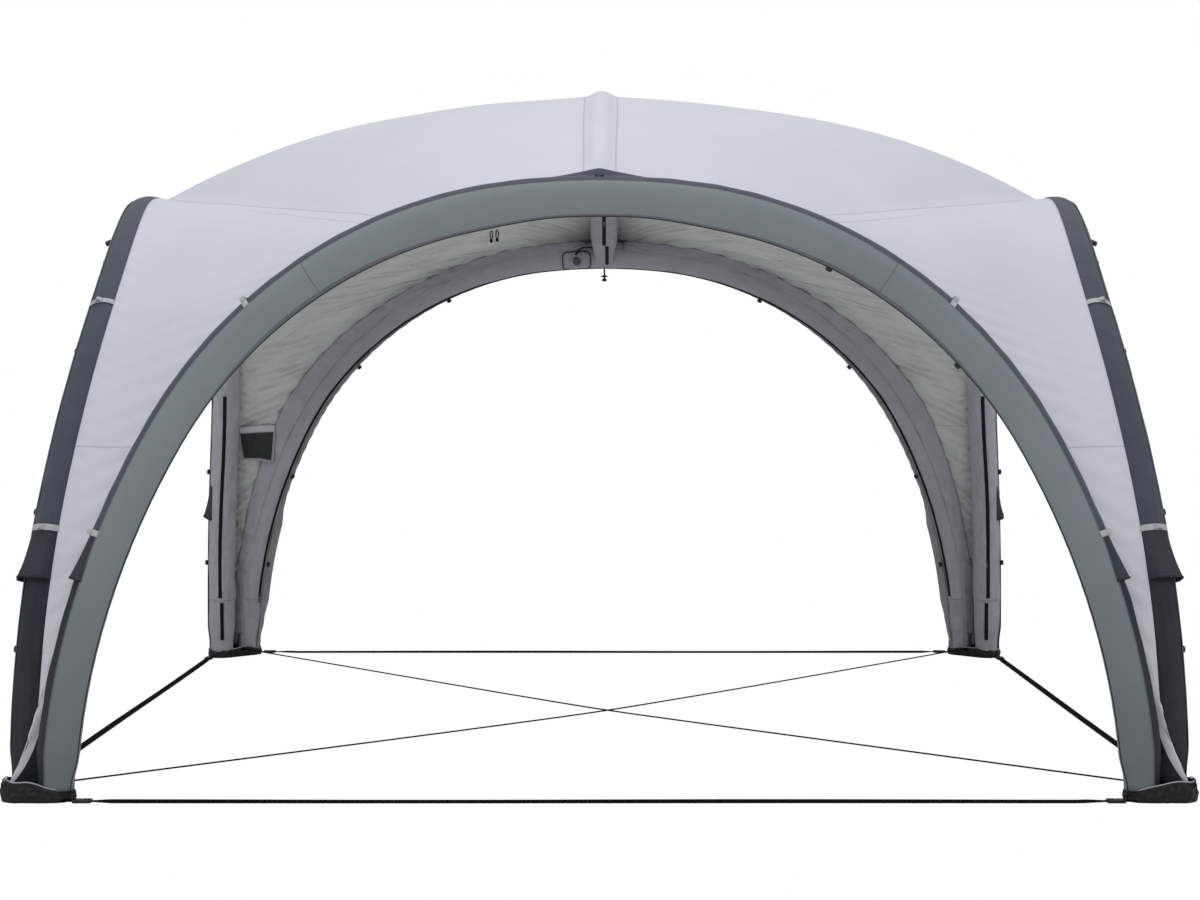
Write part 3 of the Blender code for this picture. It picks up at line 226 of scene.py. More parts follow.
@dataclass(frozen=True)
class Graph:
    """The node tree of a material or a world, with short ways to add and link nodes."""

    tree: bpy.types.NodeTree

    def fill(self, node: bpy.types.Node, inputs: Mapping[str | int, object]) -> None:
        """Fill a node's inputs.

        Args:
            node: The node.
            inputs: For each input, its value or the socket that feeds it.
        """
        for name, value in inputs.items():
            if isinstance(value, bpy.types.NodeSocket):
                self.tree.links.new(value, node.inputs[name])
            else:
                node.inputs[name].default_value = value

    def add(self, kind: str, inputs: Mapping[str | int, object] | None = None,
            **settings: object) -> bpy.types.Node:
        """Add a node.

        Args:
            kind: The node's type.
            inputs: For each input, its value or the socket that feeds it.
            **settings: The node's own settings.

        Returns:
            The node.
        """
        node = self.tree.nodes.new(kind)
        for name, value in settings.items():
            setattr(node, name, value)
        self.fill(node, inputs or {})
        return node

    def read(self, attribute: str) -> bpy.types.NodeSocket:
        """Read a mesh attribute."""
        return self.add("ShaderNodeAttribute", attribute_name=attribute).outputs["Fac"]

    def fade(self, value: bpy.types.NodeSocket, width: float) -> bpy.types.NodeSocket:
        """Fall smoothly from 1 at value 0 to 0 at a width.

        Args:
            value: The socket that gives the value.
            width: Where the fall ends.

        Returns:
            The socket that gives the strength.
        """
        span = self.add("ShaderNodeMapRange", {
            "From Min": 0.0, "From Max": width, "To Min": 1.0, "To Max": 0.0, "Value": value,
        }, interpolation_type="SMOOTHSTEP")
        return span.outputs["Result"]


@dataclass(frozen=True)
class Mark:
    """A darkened band on a finish where a mesh attribute, a signed distance in metres, is near 0: thin
    ones are seam lines, wide ones are painted shade where parts meet.
    """

    attribute: str
    width: float
    shade: float
    height: float = 0.0


@dataclass(frozen=True)
class Pleats:
    """Soft pleats across a mesh attribute, fading with the distance in another one; they bump the
    surface and darken the colour in their valleys as painted shade.
    """

    along: str
    away: str
    pitch: float
    reach: float
    height: float
    shade: float


BAND_SCALE = 0.314
# Height in metres at which the painted shade towards the ground has faded out.
PAINTED_SHADE_TOP = 1.15


@dataclass(frozen=True)
class Finish:
    """A procedural Principled finish: uneven colour, creases and an optional weave."""

    name: str
    color: Color
    roughness: float = 0.75
    metallic: float = 0.0
    specular: float = 0.5
    unevenness: float = 0.05
    blotch: float = 5.0
    crease: float = 0.0
    crease_scale: float = 18.0
    crease_stretch: tuple[float, float, float] = (1.0, 1.0, 1.0)
    weave: float = 0.0
    weave_pitch: float = 0.0022
    sheen: float = 0.0
    # Painted shade: the colour is darkened by this factor at the ground, fading out with height,
    # standing in for the lower parts getting less light.
    painted_low_shade: float = 1.0
    marks: tuple[Mark, ...] = ()
    pleats: tuple[Pleats, ...] = ()

    def material(self) -> bpy.types.Material:
        """Build the material, or return it if it was built before.

        Returns:
            The material, with its nodes in place.
        """
        found = bpy.data.materials.get(self.name)
        if found is not None:
            return found
        made = bpy.data.materials.new(self.name)
        made.use_nodes = True
        graph = Graph(made.node_tree)
        shader = made.node_tree.nodes["Principled BSDF"]
        place = graph.add("ShaderNodeTexCoord")
        graph.fill(shader, {"Roughness": self.roughness, "Metallic": self.metallic,
                            "Specular IOR Level": self.specular,
                            "Base Color": self._color(graph, place)})
        if self.sheen:
            graph.fill(shader, {"Sheen Weight": self.sheen, "Sheen Roughness": 0.6})
        normal = self._normal(graph, place)
        if normal is not None:
            graph.fill(shader, {"Normal": normal})
        return made

    def _color(self, graph: Graph, place: bpy.types.Node) -> bpy.types.NodeSocket:
        """Lay the colour: two tones mixed by soft noise, darkened along the marks, in the pleats'
        valleys and, for some finishes, towards the ground; all of this darkening except the seam lines
        is painted shade.

        Args:
            graph: The material's nodes.
            place: The texture coordinate node.

        Returns:
            The socket that gives the colour.
        """
        noise = graph.add("ShaderNodeTexNoise", {
            "Scale": self.blotch, "Detail": 5.0, "Roughness": 0.6, "Vector": place.outputs["Object"]})
        ramp = graph.add("ShaderNodeValToRGB", {"Fac": noise.outputs["Fac"]})
        ends = zip(ramp.color_ramp.elements, (0.3, 0.7), (-self.unevenness, self.unevenness))
        for element, position, change in ends:
            element.position = position
            element.color = (*(min(1.0, channel * (1.0 + change)) for channel in linear(self.color)),
                             1.0)
        shades = [(self._line(graph, mark), mark.shade) for mark in self.marks]
        shades += [(self._pleat(graph, pleat), pleat.shade) for pleat in self.pleats]
        # Painted shade: darker towards the ground.
        if self.painted_low_shade != 1.0:
            split = graph.add("ShaderNodeSeparateXYZ", {"Vector": place.outputs["Object"]})
            shades.append((graph.fade(split.outputs["Z"], PAINTED_SHADE_TOP), self.painted_low_shade))
        color = ramp.outputs["Color"]
        for strength, shade in shades:
            mix = graph.add("ShaderNodeMix", {
                "B": (shade, shade, shade, 1.0), "Factor": strength, "A": color,
            }, data_type="RGBA", blend_type="MULTIPLY")
            color = mix.outputs["Result"]
        return color

    @staticmethod
    def _pleat(graph: Graph, pleat: Pleats) -> bpy.types.NodeSocket:
        """Give bent bands across an attribute, times how near the other one is to 0.

        Args:
            graph: The material's nodes.
            pleat: The pleats to draw.

        Returns:
            The socket that gives their strength.
        """
        along, away = graph.read(pleat.along), graph.read(pleat.away)
        place = graph.add("ShaderNodeCombineXYZ", {"X": along, "Y": away}).outputs["Vector"]
        wave = graph.add("ShaderNodeTexWave", {
            "Scale": BAND_SCALE / pleat.pitch, "Distortion": 9.0, "Detail": 3.0,
            "Detail Scale": 0.55, "Vector": place})
        patch = graph.add("ShaderNodeTexNoise", {
            "Scale": 0.45 / pleat.pitch, "Detail": 2.0, "Vector": place})
        span = graph.add("ShaderNodeMapRange", {
            "From Min": 0.40, "From Max": 0.66, "Value": patch.outputs["Fac"]})
        value = wave.outputs["Fac"]
        for factor in (span.outputs["Result"], graph.fade(away, pleat.reach)):
            value = graph.add("ShaderNodeMath", {0: value, 1: factor},
                              operation="MULTIPLY").outputs["Value"]
        return value

    @staticmethod
    def _line(graph: Graph, mark: Mark) -> bpy.types.NodeSocket:
        """Give a soft line that is 1 where the mark's attribute is 0."""
        size = graph.add("ShaderNodeMath", {0: graph.read(mark.attribute)}, operation="ABSOLUTE")
        return graph.fade(size.outputs["Value"], mark.width)

    def _normal(self, graph: Graph, place: bpy.types.Node) -> bpy.types.NodeSocket | None:
        """Chain the bumps of the creases, the weave and the marks.

        Args:
            graph: The material's nodes.
            place: The texture coordinate node.

        Returns:
            The socket that gives the normal, or None for a smooth finish.
        """
        cloth = place.outputs["UV"]
        heights = []
        if self.crease:
            scale = graph.add("ShaderNodeMapping", {"Scale": self.crease_stretch, "Vector": cloth})
            noise = graph.add("ShaderNodeTexNoise", {
                "Scale": self.crease_scale, "Detail": 6.0, "Roughness": 0.55, "Distortion": 0.6,
                "Vector": scale.outputs["Vector"]})
            heights.append((noise.outputs["Fac"], self.crease))
        for direction in ("X", "Y") if self.weave else ():
            wave = graph.add("ShaderNodeTexWave", {
                "Scale": BAND_SCALE / self.weave_pitch, "Vector": cloth}, bands_direction=direction)
            heights.append((wave.outputs["Fac"], self.weave))
        heights += [(self._line(graph, mark), mark.height) for mark in self.marks if mark.height]
        heights += [(self._pleat(graph, pleat), pleat.height) for pleat in self.pleats]
        normal = None
        for height, distance in heights:
            below = {} if normal is None else {"Normal": normal}
            bump = graph.add("ShaderNodeBump", {
                "Distance": abs(distance), "Height": height, **below}, invert=distance < 0.0)
            normal = bump.outputs["Normal"]
        return normal


SEAMS = tuple(Mark(name, 0.0050, shade, -0.0014) for name, shade in (
    ("seam_upper", 0.80), ("seam_second", 0.90), ("seam_lower", 0.84), ("seam_ridge", 0.80)))
STITCH = Mark("seam", 0.003, 0.6, -0.0010)
# Painted shade on the canopy's inside: darker beside the gable arches, beside the side arches and round
# the ridge's back end, where shade falls between the parts.
PAINTED_CONTACT_SHADE = (Mark("front", 0.16, 0.78), Mark("side", 0.09, 0.66), Mark("crown", 0.46, 0.42))

CANOPY = Finish("canopy_outside", (206, 207, 217), 0.72, crease=0.006, crease_scale=3.5,
                unevenness=0.025, blotch=2.2, weave=0.00008, marks=SEAMS)
CANOPY_INSIDE = Finish("canopy_inside", (218, 220, 219), 0.8, crease=0.045, crease_scale=6.0,
                       crease_stretch=(1.0, 0.5, 1.0), unevenness=0.04, blotch=2.2,
                       marks=(*SEAMS, *PAINTED_CONTACT_SHADE),
                       # The pleats' darkening is painted shade in their valleys; the fan's dark patch
                       # by the ridge's end is painted shade too.
                       pleats=(Pleats("lean", "front", 0.052, 1.00, -0.007, 0.80),
                               Pleats("lean_side", "side", 0.045, 0.17, -0.007, 0.70),
                               Pleats("fan", "crown", 0.022, 0.28, -0.006, 0.45)))
# The navy, tube, fascia and facing finishes darken towards the ground: painted shade.
NAVY = Finish("navy_cloth", (60, 66, 81), 0.78, crease=0.004, crease_scale=9.0, unevenness=0.10,
              blotch=9.0, weave=0.00010, sheen=0.1, painted_low_shade=0.80, marks=(STITCH,))
NAVY_CUFF = Finish("navy_cuff", (46, 49, 59), 0.8, crease=0.006, crease_scale=14.0,
                   unevenness=0.12, blotch=12.0, weave=0.00010, marks=(STITCH,))
NAVY_LOW = Finish("navy_lower_sleeve", (37, 39, 47), 0.8, crease=0.006, crease_scale=14.0,
                  unevenness=0.12, blotch=12.0, weave=0.00010, marks=(STITCH,))
# Its edge mark is painted shade on the tube's inner face next to the canopy's edge.
TUBE_INSIDE = Finish("tube_inner_face", (170, 168, 177), 0.62, crease=0.020, crease_scale=18.0,
                     crease_stretch=(1.0, 0.45, 1.0), unevenness=0.08, blotch=14.0,
                     painted_low_shade=0.92, marks=(STITCH, Mark("edge", 0.05, 0.66)))
FASCIA = Finish("fascia_cloth", (126, 134, 137), 0.74, crease=0.003, crease_scale=5.0,
                unevenness=0.04, blotch=4.0, weave=0.00008, painted_low_shade=0.66, marks=(STITCH,))
FACING = Finish("facing_cloth", (104, 104, 113), 0.8, crease=0.004, crease_scale=20.0,
                unevenness=0.08, blotch=14.0, painted_low_shade=0.75)
# Lighter than the fascia's outside to make up for the shade it sits in: painted light standing in for
# light through the thin panel.
LOOSE_PANEL = Finish("fascia_inside", (138, 141, 143), 0.82, crease=0.008, crease_scale=14.0,
                     unevenness=0.14, blotch=10.0)
BAND = Finish("band_webbing", (182, 184, 188), 0.8, weave=0.0004, weave_pitch=0.003,
              unevenness=0.05, blotch=30.0)
BLACK_TAPE = Finish("black_tape", (18, 18, 20), 0.7, specular=0.2, weave=0.0003, weave_pitch=0.0025,
                    unevenness=0.15, blotch=30.0)
STRAP_BLACK = Finish("strap_webbing", (9, 9, 10), 0.85, specular=0.08, weave=0.0005, weave_pitch=0.0032,
                     unevenness=0.15, blotch=25.0)
BOOT_BLACK = Finish("boot_coated", (22, 22, 25), 0.45, specular=0.3, crease=0.012, crease_scale=26.0,
                    unevenness=0.2, blotch=20.0)
PIPING_GREY = Finish("piping_grey", (158, 160, 164), 0.7, unevenness=0.06, blotch=30.0)
PIPING_NAVY = Finish("piping_navy", (92, 97, 110), 0.7, unevenness=0.06, blotch=30.0)
PIPING_BLACK = Finish("piping_black", (18, 18, 20), 0.6, unevenness=0.1, blotch=30.0)
CORD_BLACK = Finish("cord_black", (9, 9, 10), 0.8, specular=0.08, unevenness=0.2, blotch=90.0)
MESH = Finish("pocket_mesh", (62, 64, 65), 0.9, weave=0.0012, weave_pitch=0.004,
              unevenness=0.25, blotch=60.0)
PLASTIC = Finish("moulded_black", (20, 20, 22), 0.42, unevenness=0.1, blotch=60.0)
VALVE_GREY = Finish("valve_plastic", (78, 79, 83), 0.4, unevenness=0.05, blotch=60.0)
METAL = Finish("zip_slider_metal", (84, 85, 90), 0.35, metallic=1.0, unevenness=0.05,
               blotch=80.0)


class Slot(Enum):
    """The record's material slots."""

    CANOPY = "canopy_grey"
    NAVY = "sleeve_navy"
    FASCIA = "fascia_green_grey"
    BOOT = "boot_black"
    WEBBING = "webbing_black"
    BUCKLE = "buckle_black"
    MESH = "mesh_black"
    VALVE = "valve_grey"
    METAL = "zip_metal"


# --------------------------------------------------------------------- meshes


@dataclass
class Grid:
    """A sheet of quads with its cloth coordinates, zones of finish and marks.

    Points are (rows, columns, 3). Cloth coordinates are (rows, columns, 2) in
    metres. Zones are whole numbers per face, marks are distances per point.
    """

    points: Array
    uv: Array | None = None
    zones: Array | None = None
    marks: dict[str, Array] = field(default_factory=dict)
    wrap: bool = False
    capped: bool = False

    def faces(self) -> Array:
        """Number the corners of every quad.

        Returns:
            Corner numbers, one row of four for each quad.
        """
        rows, columns = self.points.shape[:2]
        number = np.arange(rows * columns).reshape(rows, columns)
        after = np.roll(number, -1, axis=1) if self.wrap else number[:, 1:]
        here = number if self.wrap else number[:, :-1]
        quads = np.stack([here[:-1], after[:-1], after[1:], here[1:]], axis=-1)
        return quads.reshape(-1, 4)

    def cloth(self) -> Array:
        """Give the cloth coordinates, measured over the surface if none were set.

        Returns:
            One pair for each corner of every quad, in the order of faces().
        """
        uv = self.uv
        if uv is None:
            across = run_length(self.points, 1).mean(axis=0)
            down = run_length(self.points, 0).mean(axis=1)
            uv = np.stack(np.broadcast_arrays(across[None, :], down[:, None]), axis=-1)
        if self.wrap:
            gap = np.linalg.norm(self.points[:, -1] - self.points[:, 0], axis=-1).mean()
            last = uv[:, -1:] + np.array([gap, 0.0])
            uv = np.concatenate([uv, last], axis=1)
        corners = [uv[:-1, :-1], uv[:-1, 1:], uv[1:, 1:], uv[1:, :-1]]
        return np.stack(corners, axis=2).reshape(-1, 4, 2)


def weld(points: Array, faces: Array) -> tuple[Array, Array, Array]:
    """Join the points that share a place, to a hundredth of a millimetre.

    Args:
        points: Points, one row each.
        faces: Corner numbers of the quads.

    Returns:
        The joined points, the faces on them, and the first old point of each new one.
    """
    keys = np.round(points * 1e5).astype(np.int64)
    _, first, inverse = np.unique(keys, axis=0, return_index=True, return_inverse=True)
    return points[first], inverse.reshape(-1)[faces], first


def surface_normals(points: Array, faces: Array) -> Array:
    """Average the face normals at every point, weighed by area.

    Args:
        points: Points, one row each.
        faces: Corner numbers of the quads.

    Returns:
        Directions of length one, one for each point.
    """
    a, b, c, d = (points[faces[:, corner]] for corner in range(4))
    turned = np.cross(c - a, d - b)
    total = np.zeros_like(points)
    for corner in range(4):
        np.add.at(total, faces[:, corner], turned)
    return unit(total)


def signed_volume(points: Array, faces: Array) -> float:
    """Measure what quads enclose; it is negative where they face inwards.

    Args:
        points: Points, one row each.
        faces: Corner numbers of the quads.

    Returns:
        The volume in cubic metres, with its sign.
    """
    centre = points.mean(axis=0)
    a, b, c, d = (points[faces[:, corner]] - centre for corner in range(4))
    first = np.einsum("ij,ij->i", a, np.cross(b, c))
    second = np.einsum("ij,ij->i", a, np.cross(c, d))
    return float((first + second).sum() / 6.0)


@dataclass
class Shell:
    """Points and quads ready to become a mesh, with one value a face or point."""

    points: Array
    faces: Array
    cloth: Array
    zones: Array
    marks: dict[str, Array]
    caps: list[Array]

    @classmethod
    def of(cls, grids: Sequence[Grid], outward: bool | None = None) -> Shell:
        """Join grids into one shell.

        Args:
            grids: The grids, in order.
            outward: True turns each closed grid to face outwards, and None leaves them.

        Returns:
            The shell.
        """
        points, faces, cloth, zones, caps = [], [], [], [], []
        names = sorted({name for grid in grids for name in grid.marks})
        marks: dict[str, list[Array]] = {name: [] for name in names}
        count = 0
        for grid in grids:
            flat = grid.points.reshape(-1, 3)
            quads = grid.faces()
            corners = grid.cloth()
            rims = []
            if grid.capped:
                columns = grid.points.shape[1]
                rims = [np.arange(columns)[::-1], len(flat) - columns + np.arange(columns)]
            if outward and signed_volume(flat, quads) < 0.0:
                quads = quads[:, ::-1]
                corners = corners[:, ::-1]
                rims = [rim[::-1] for rim in rims]
            zone = np.zeros(len(quads), int) if grid.zones is None else grid.zones.reshape(-1)
            points.append(flat)
            faces.append(quads + count)
            cloth.append(corners)
            zones.append(zone)
            caps += [rim + count for rim in rims]
            for name in names:
                value = grid.marks.get(name)
                marks[name].append(np.full(len(flat), 1.0) if value is None else value.reshape(-1))
            count += len(flat)
        joined = {name: np.concatenate(parts) for name, parts in marks.items()}
        return cls(np.concatenate(points), np.concatenate(faces), np.concatenate(cloth),
                   np.concatenate(zones), joined, caps)

    def mesh(self, name: str) -> bpy.types.Mesh:
        """Build the mesh.

        Args:
            name: The mesh's name.

        Returns:
            The mesh, shaded smooth, with its cloth coordinates and marks.
        """
        mesh = bpy.data.meshes.new(name)
        mesh.vertices.add(len(self.points))
        mesh.vertices.foreach_set("co", self.points.astype(np.float32).reshape(-1))
        loops = [self.faces.reshape(-1), *self.caps]
        sizes = np.concatenate([np.full(len(self.faces), 4), [len(cap) for cap in self.caps]])
        starts = np.concatenate([[0], np.cumsum(sizes)[:-1]])
        corners = np.concatenate(loops)
        mesh.loops.add(len(corners))
        mesh.loops.foreach_set("vertex_index", corners.astype(np.int32))
        mesh.polygons.add(len(sizes))
        mesh.polygons.foreach_set("loop_start", starts.astype(np.int32))
        zones = np.concatenate([self.zones, np.zeros(len(self.caps), int)])
        mesh.polygons.foreach_set("material_index", zones.astype(np.int32))
        mesh.update(calc_edges=True)
        layer = mesh.uv_layers.new(name="cloth")
        uv = np.zeros((len(corners), 2), np.float32)
        uv[:self.faces.size] = self.cloth.reshape(-1, 2)
        layer.data.foreach_set("uv", uv.reshape(-1))
        for mark, values in self.marks.items():
            data = mesh.attributes.new(mark, "FLOAT", "POINT")
            data.data.foreach_set("value", values.astype(np.float32))
        mesh.shade_smooth()
        return mesh


@dataclass(frozen=True)
class Wall:
    """Thickness of a cloth that is drawn as one surface, and where its middle lies."""

    thickness: float
    offset: float = 0.0
    inner_finish: int = 0


THIN_CLOTH = Wall(0.0012)


def place_object(name: str, data: bpy.types.ID) -> bpy.types.Object:
    """Put a mesh, curve, lamp or camera into the scene.

    Args:
        name: The object's name.
        data: Its mesh, curve, lamp or camera.

    Returns:
        The object.
    """
    made = bpy.data.objects.new(name, data)
    bpy.context.scene.collection.objects.link(made)
    return made


def add_piece(name: str, grids: Sequence[Grid] | Shell, finishes: Sequence[Finish],
              body: str = "tent", wall: Wall | None = None) -> bpy.types.Object:
    """Add a piece made of grids, dress it and let it ride on its body.

    Args:
        name: The piece's name.
        grids: Its grids, or a shell that is already joined.
        finishes: Its finishes, by zone.
        body: The CAD body that it moves with.
        wall: Its cloth's thickness, or None for a closed surface.

    Returns:
        The object.
    """
    shell = grids if isinstance(grids, Shell) else Shell.of(grids, outward=wall is None)
    names = {mark.attribute for finish in finishes for mark in finish.marks}
    for mark in sorted(names):
        shell.marks.setdefault(mark, np.full(len(shell.points), 1.0))
    mesh = shell.mesh(name)
    for finish in finishes:
        mesh.materials.append(finish.material())
    piece = place_object(name, mesh)
    if wall is not None:
        cloth = piece.modifiers.new("cloth", "SOLIDIFY")
        cloth.thickness = wall.thickness
        cloth.offset = wall.offset
        cloth.use_rim = True
        cloth.material_offset = wall.inner_finish
    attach(piece, body)
    return piece


def swept(path: Array, up: Array, profile: Array, closed: bool = False) -> Grid:
    """Sweep a closed profile along a path: p + x side + y up, with side = along x up.

    Args:
        path: The path's points.
        up: The direction of the profile's y, one for each point or one for all.
        profile: The profile's points (x, y), the same for all or one set for each point.
        closed: Whether the path ends where it starts.

    Returns:
        The grid, one row for each point of the path.
    """
    path = np.asarray(path, dtype=float)
    if closed:
        along = np.roll(path, -1, axis=0) - np.roll(path, 1, axis=0)
    else:
        along = np.gradient(path, axis=0)
    along = unit(along)
    up = np.broadcast_to(np.asarray(up, dtype=float), path.shape)
    side = unit(np.cross(along, up))
    up = unit(np.cross(side, along))
    profile = np.broadcast_to(profile, (len(path), *np.shape(profile)[-2:]))
    points = (path[:, None] + profile[..., :1] * side[:, None]
              + profile[..., 1:] * up[:, None])
    if closed:
        points = np.concatenate([points, points[:1]])
        return Grid(points, wrap=True)
    return Grid(points, wrap=True, capped=True)


def circle(radius: float) -> Array:
    """Give eight points on a circle.

    Args:
        radius: The circle's radius.

    Returns:
        The points (x, y).
    """
    angles = np.linspace(0.0, 2.0 * math.pi, 8, endpoint=False)
    return radius * np.stack([np.cos(angles), np.sin(angles)], axis=-1)


def slab(width: float, height: float, round_share: float = 0.35) -> Array:
    """Give the outline of a rounded bar, with three points in each corner.

    Args:
        width: Its width.
        height: Its height.
        round_share: Its corners' radius as a share of the height.

    Returns:
        The points (x, y) around it.
    """
    radius = height * round_share
    turns = np.linspace(0.0, math.pi / 2.0, 3)
    parts = []
    for quarter, (sx, sy) in enumerate(((1, 1), (-1, 1), (-1, -1), (1, -1))):
        angles = turns + quarter * math.pi / 2.0
        centre = np.array([sx * (width / 2.0 - radius), sy * (height / 2.0 - radius)])
        parts.append(centre + radius * np.stack([np.cos(angles), np.sin(angles)], axis=-1))
    return np.concatenate(parts)


# --------------------------------------------------------------- centre lines

FOOT_FLOOR = 0.0053
SPAN_HALF = 1.658
FOOT_OFFSET = 1.761
SHOULDER_RADIUS = 1.430
CROWN_ANGLE = math.radians(6.5)
SHOULDER_ANGLE = math.radians(61.2)
FOOT_ANGLE = math.radians(89.4)
BEAM_RADIUS = 0.0605
FOOT_RADIUS = 0.0525
TAPER = 0.090
LEVEL_HEIGHT = 0.056
HEM_HEIGHT = 0.110
CUFF_HEIGHT = 0.650
BOOT_LINE = 0.036


@dataclass(frozen=True)
class ArchLine:
    """Centre line of an arch: leg, shoulder and crown arcs that meet smoothly."""

    crown_height: float
    lean: float
    pull: float
    pull_shift: float

    @property
    def radii(self) -> tuple[float, float]:
        """Solve the crown and leg radii that carry the arch from crown to foot.

        Returns:
            The crown's radius and the leg's radius.
        """
        c, s, f = CROWN_ANGLE, SHOULDER_ANGLE, FOOT_ANGLE
        rise = self.crown_height - FOOT_FLOOR
        reach = SPAN_HALF - SHOULDER_RADIUS * (math.sin(s) - math.sin(c))
        drop = rise - SHOULDER_RADIUS * (math.cos(c) - math.cos(s))
        matrix = np.array([[math.sin(c), math.sin(f) - math.sin(s)],
                           [1.0 - math.cos(c), math.cos(s) - math.cos(f)]])
        crown, leg = np.linalg.solve(matrix, np.array([reach, drop]))
        return float(crown), float(leg)

    @property
    def half(self) -> float:
        """Add up the three arcs from a foot to the crown.

        Returns:
            The length of the line.
        """
        crown, leg = self.radii
        return (leg * (FOOT_ANGLE - SHOULDER_ANGLE)
                + SHOULDER_RADIUS * (SHOULDER_ANGLE - CROWN_ANGLE) + crown * CROWN_ANGLE)

    def local(self, lengths: Array) -> tuple[Array, Array, Array]:
        """Follow the arcs: each adds R (sin a) across and R (1 - cos a) down.

        Args:
            lengths: Lengths along the line from its foot.

        Returns:
            Distance from the middle, height, and lean inwards.
        """
        crown_radius, leg_radius = self.radii
        leg_length = leg_radius * (FOOT_ANGLE - SHOULDER_ANGLE)
        shoulder_length = SHOULDER_RADIUS * (SHOULDER_ANGLE - CROWN_ANGLE)
        angle = np.where(
            lengths < leg_length, FOOT_ANGLE - lengths / leg_radius,
            np.where(lengths < leg_length + shoulder_length,
                     SHOULDER_ANGLE - (lengths - leg_length) / SHOULDER_RADIUS,
                     (self.half - lengths) / crown_radius))
        crown = np.minimum(angle, CROWN_ANGLE)
        shoulder = np.clip(angle, CROWN_ANGLE, SHOULDER_ANGLE)
        leg = np.maximum(angle, SHOULDER_ANGLE)
        across = (crown_radius * np.sin(crown)
                  + SHOULDER_RADIUS * (np.sin(shoulder) - math.sin(CROWN_ANGLE))
                  + leg_radius * (np.sin(leg) - math.sin(SHOULDER_ANGLE)))
        drop = (crown_radius * (1.0 - np.cos(crown))
                + SHOULDER_RADIUS * (math.cos(CROWN_ANGLE) - np.cos(shoulder))
                + leg_radius * (math.cos(SHOULDER_ANGLE) - np.cos(leg)))
        share = np.clip(lengths / self.half, 0.0, 1.0)
        inward = (self.lean * smooth_step(share)
                  + self.pull * np.sin(math.pi * share ** self.pull_shift) ** 2)
        return across, self.crown_height - drop, inward

    def length_at(self, height: float | None = None, across: float | None = None) -> float:
        """Find the length from the foot at a height or at a distance from the middle.

        Args:
            height: The height to find, or None.
            across: The distance from the middle to find, or None.

        Returns:
            The length from the foot.
        """
        lengths = np.linspace(0.0, self.half, 4001)
        spans, heights, _ = self.local(lengths)
        if height is not None:
            return float(np.interp(height, heights, lengths))
        return float(np.interp(-across, -spans, lengths))

    def beam(self, lengths: Array) -> Beam:
        """Give cross sections at lengths measured from the left foot over the crown.

        Args:
            lengths: Lengths from the left foot, up to twice the half length.

        Returns:
            The beam over the front side.
        """
        lengths = np.asarray(lengths, dtype=float)

        def line(at: Array) -> Array:
            """Give points of the centre line.

            Args:
                at: Lengths from the left foot.

            Returns:
                Points, one for each length.
            """
            side = np.where(at <= self.half, -1.0, 1.0)
            across, height, inward = self.local(np.minimum(at, 2.0 * self.half - at))
            return np.stack([side * across, inward - FOOT_OFFSET, height], axis=-1)

        step = 1e-4
        total = 2.0 * self.half
        along = unit(line(np.minimum(lengths + step, total)) - line(np.maximum(lengths - step, 0.0)))
        foot = np.minimum(lengths, total - lengths)
        level = smooth_step((HEM_HEIGHT - foot) / (HEM_HEIGHT - LEVEL_HEIGHT))[:, None]
        upright = np.zeros_like(along)
        upright[:, 2] = np.where(lengths <= self.half, 1.0, -1.0)
        along = unit(level * upright + (1.0 - level) * along)
        inward = unit(np.array([0.0, 1.0, 0.0]) - along * along[:, 1:2])
        crownward = np.cross(along, inward)
        radii = FOOT_RADIUS + (BEAM_RADIUS - FOOT_RADIUS) * smooth_step((foot - 0.06) / TAPER)
        return Beam(line(lengths), crownward, inward, radii, foot / self.half, lengths)


@dataclass(frozen=True)
class Beam:
    """Cross sections of a beam: centres, two directions, radii, shares and lengths."""

    centres: Array
    crownward: Array
    inward: Array
    radii: Array
    shares: Array
    lengths: Array

    def skin(self, angles: Array | float, offset: Array | float = 0.0) -> Array:
        """Give points on the beam: c + (r + o)(sin a inward + cos a crownward).

        Args:
            angles: Angles from the crown line, inwards positive, for all sections or each.
            offset: Distance above the beam's skin.

        Returns:
            Points, one row for each section.
        """
        angles = np.atleast_1d(angles)
        angles = np.broadcast_to(angles, (len(self.radii), angles.shape[-1]))
        reach = self.radii[:, None] + offset
        across = (np.sin(angles) * reach)[..., None] * self.inward[:, None]
        up = (np.cos(angles) * reach)[..., None] * self.crownward[:, None]
        return self.centres[:, None] + across + up

    def local(self, inward: Array, crownward: Array) -> Array:
        """Give points by distances inwards and crownwards from the centre line."""
        return (self.centres[:, None] + inward[..., None] * self.inward[:, None]
                + crownward[..., None] * self.crownward[:, None])

    def turned(self, quarters: int) -> Beam:
        """Turn the beam about the tent's middle.

        Args:
            quarters: The number of quarter turns, anticlockwise from above.

        Returns:
            The turned beam.
        """
        turn = quarter_turn(quarters)
        return replace(self, centres=self.centres @ turn, crownward=self.crownward @ turn,
                       inward=self.inward @ turn)

    def normals(self, angles: Array | float) -> Array:
        """Give the directions out of the beam at angles."""
        angles = np.broadcast_to(angles, len(self.radii))[:, None]
        return np.sin(angles) * self.inward + np.cos(angles) * self.crownward


CROWN_PEAK = 0.026
CROWN_PEAK_HALF = 0.15


def crown_peak(across: Array) -> Array:
    """Give how far the cloth rises over a gable's crown: peak (1 - |x| / half)^1.3.

    Args:
        across: Distances from the middle of the arch.

    Returns:
        Heights.
    """
    return CROWN_PEAK * np.clip(1.0 - np.abs(across) / CROWN_PEAK_HALF, 0.0, 1.0) ** 1.3


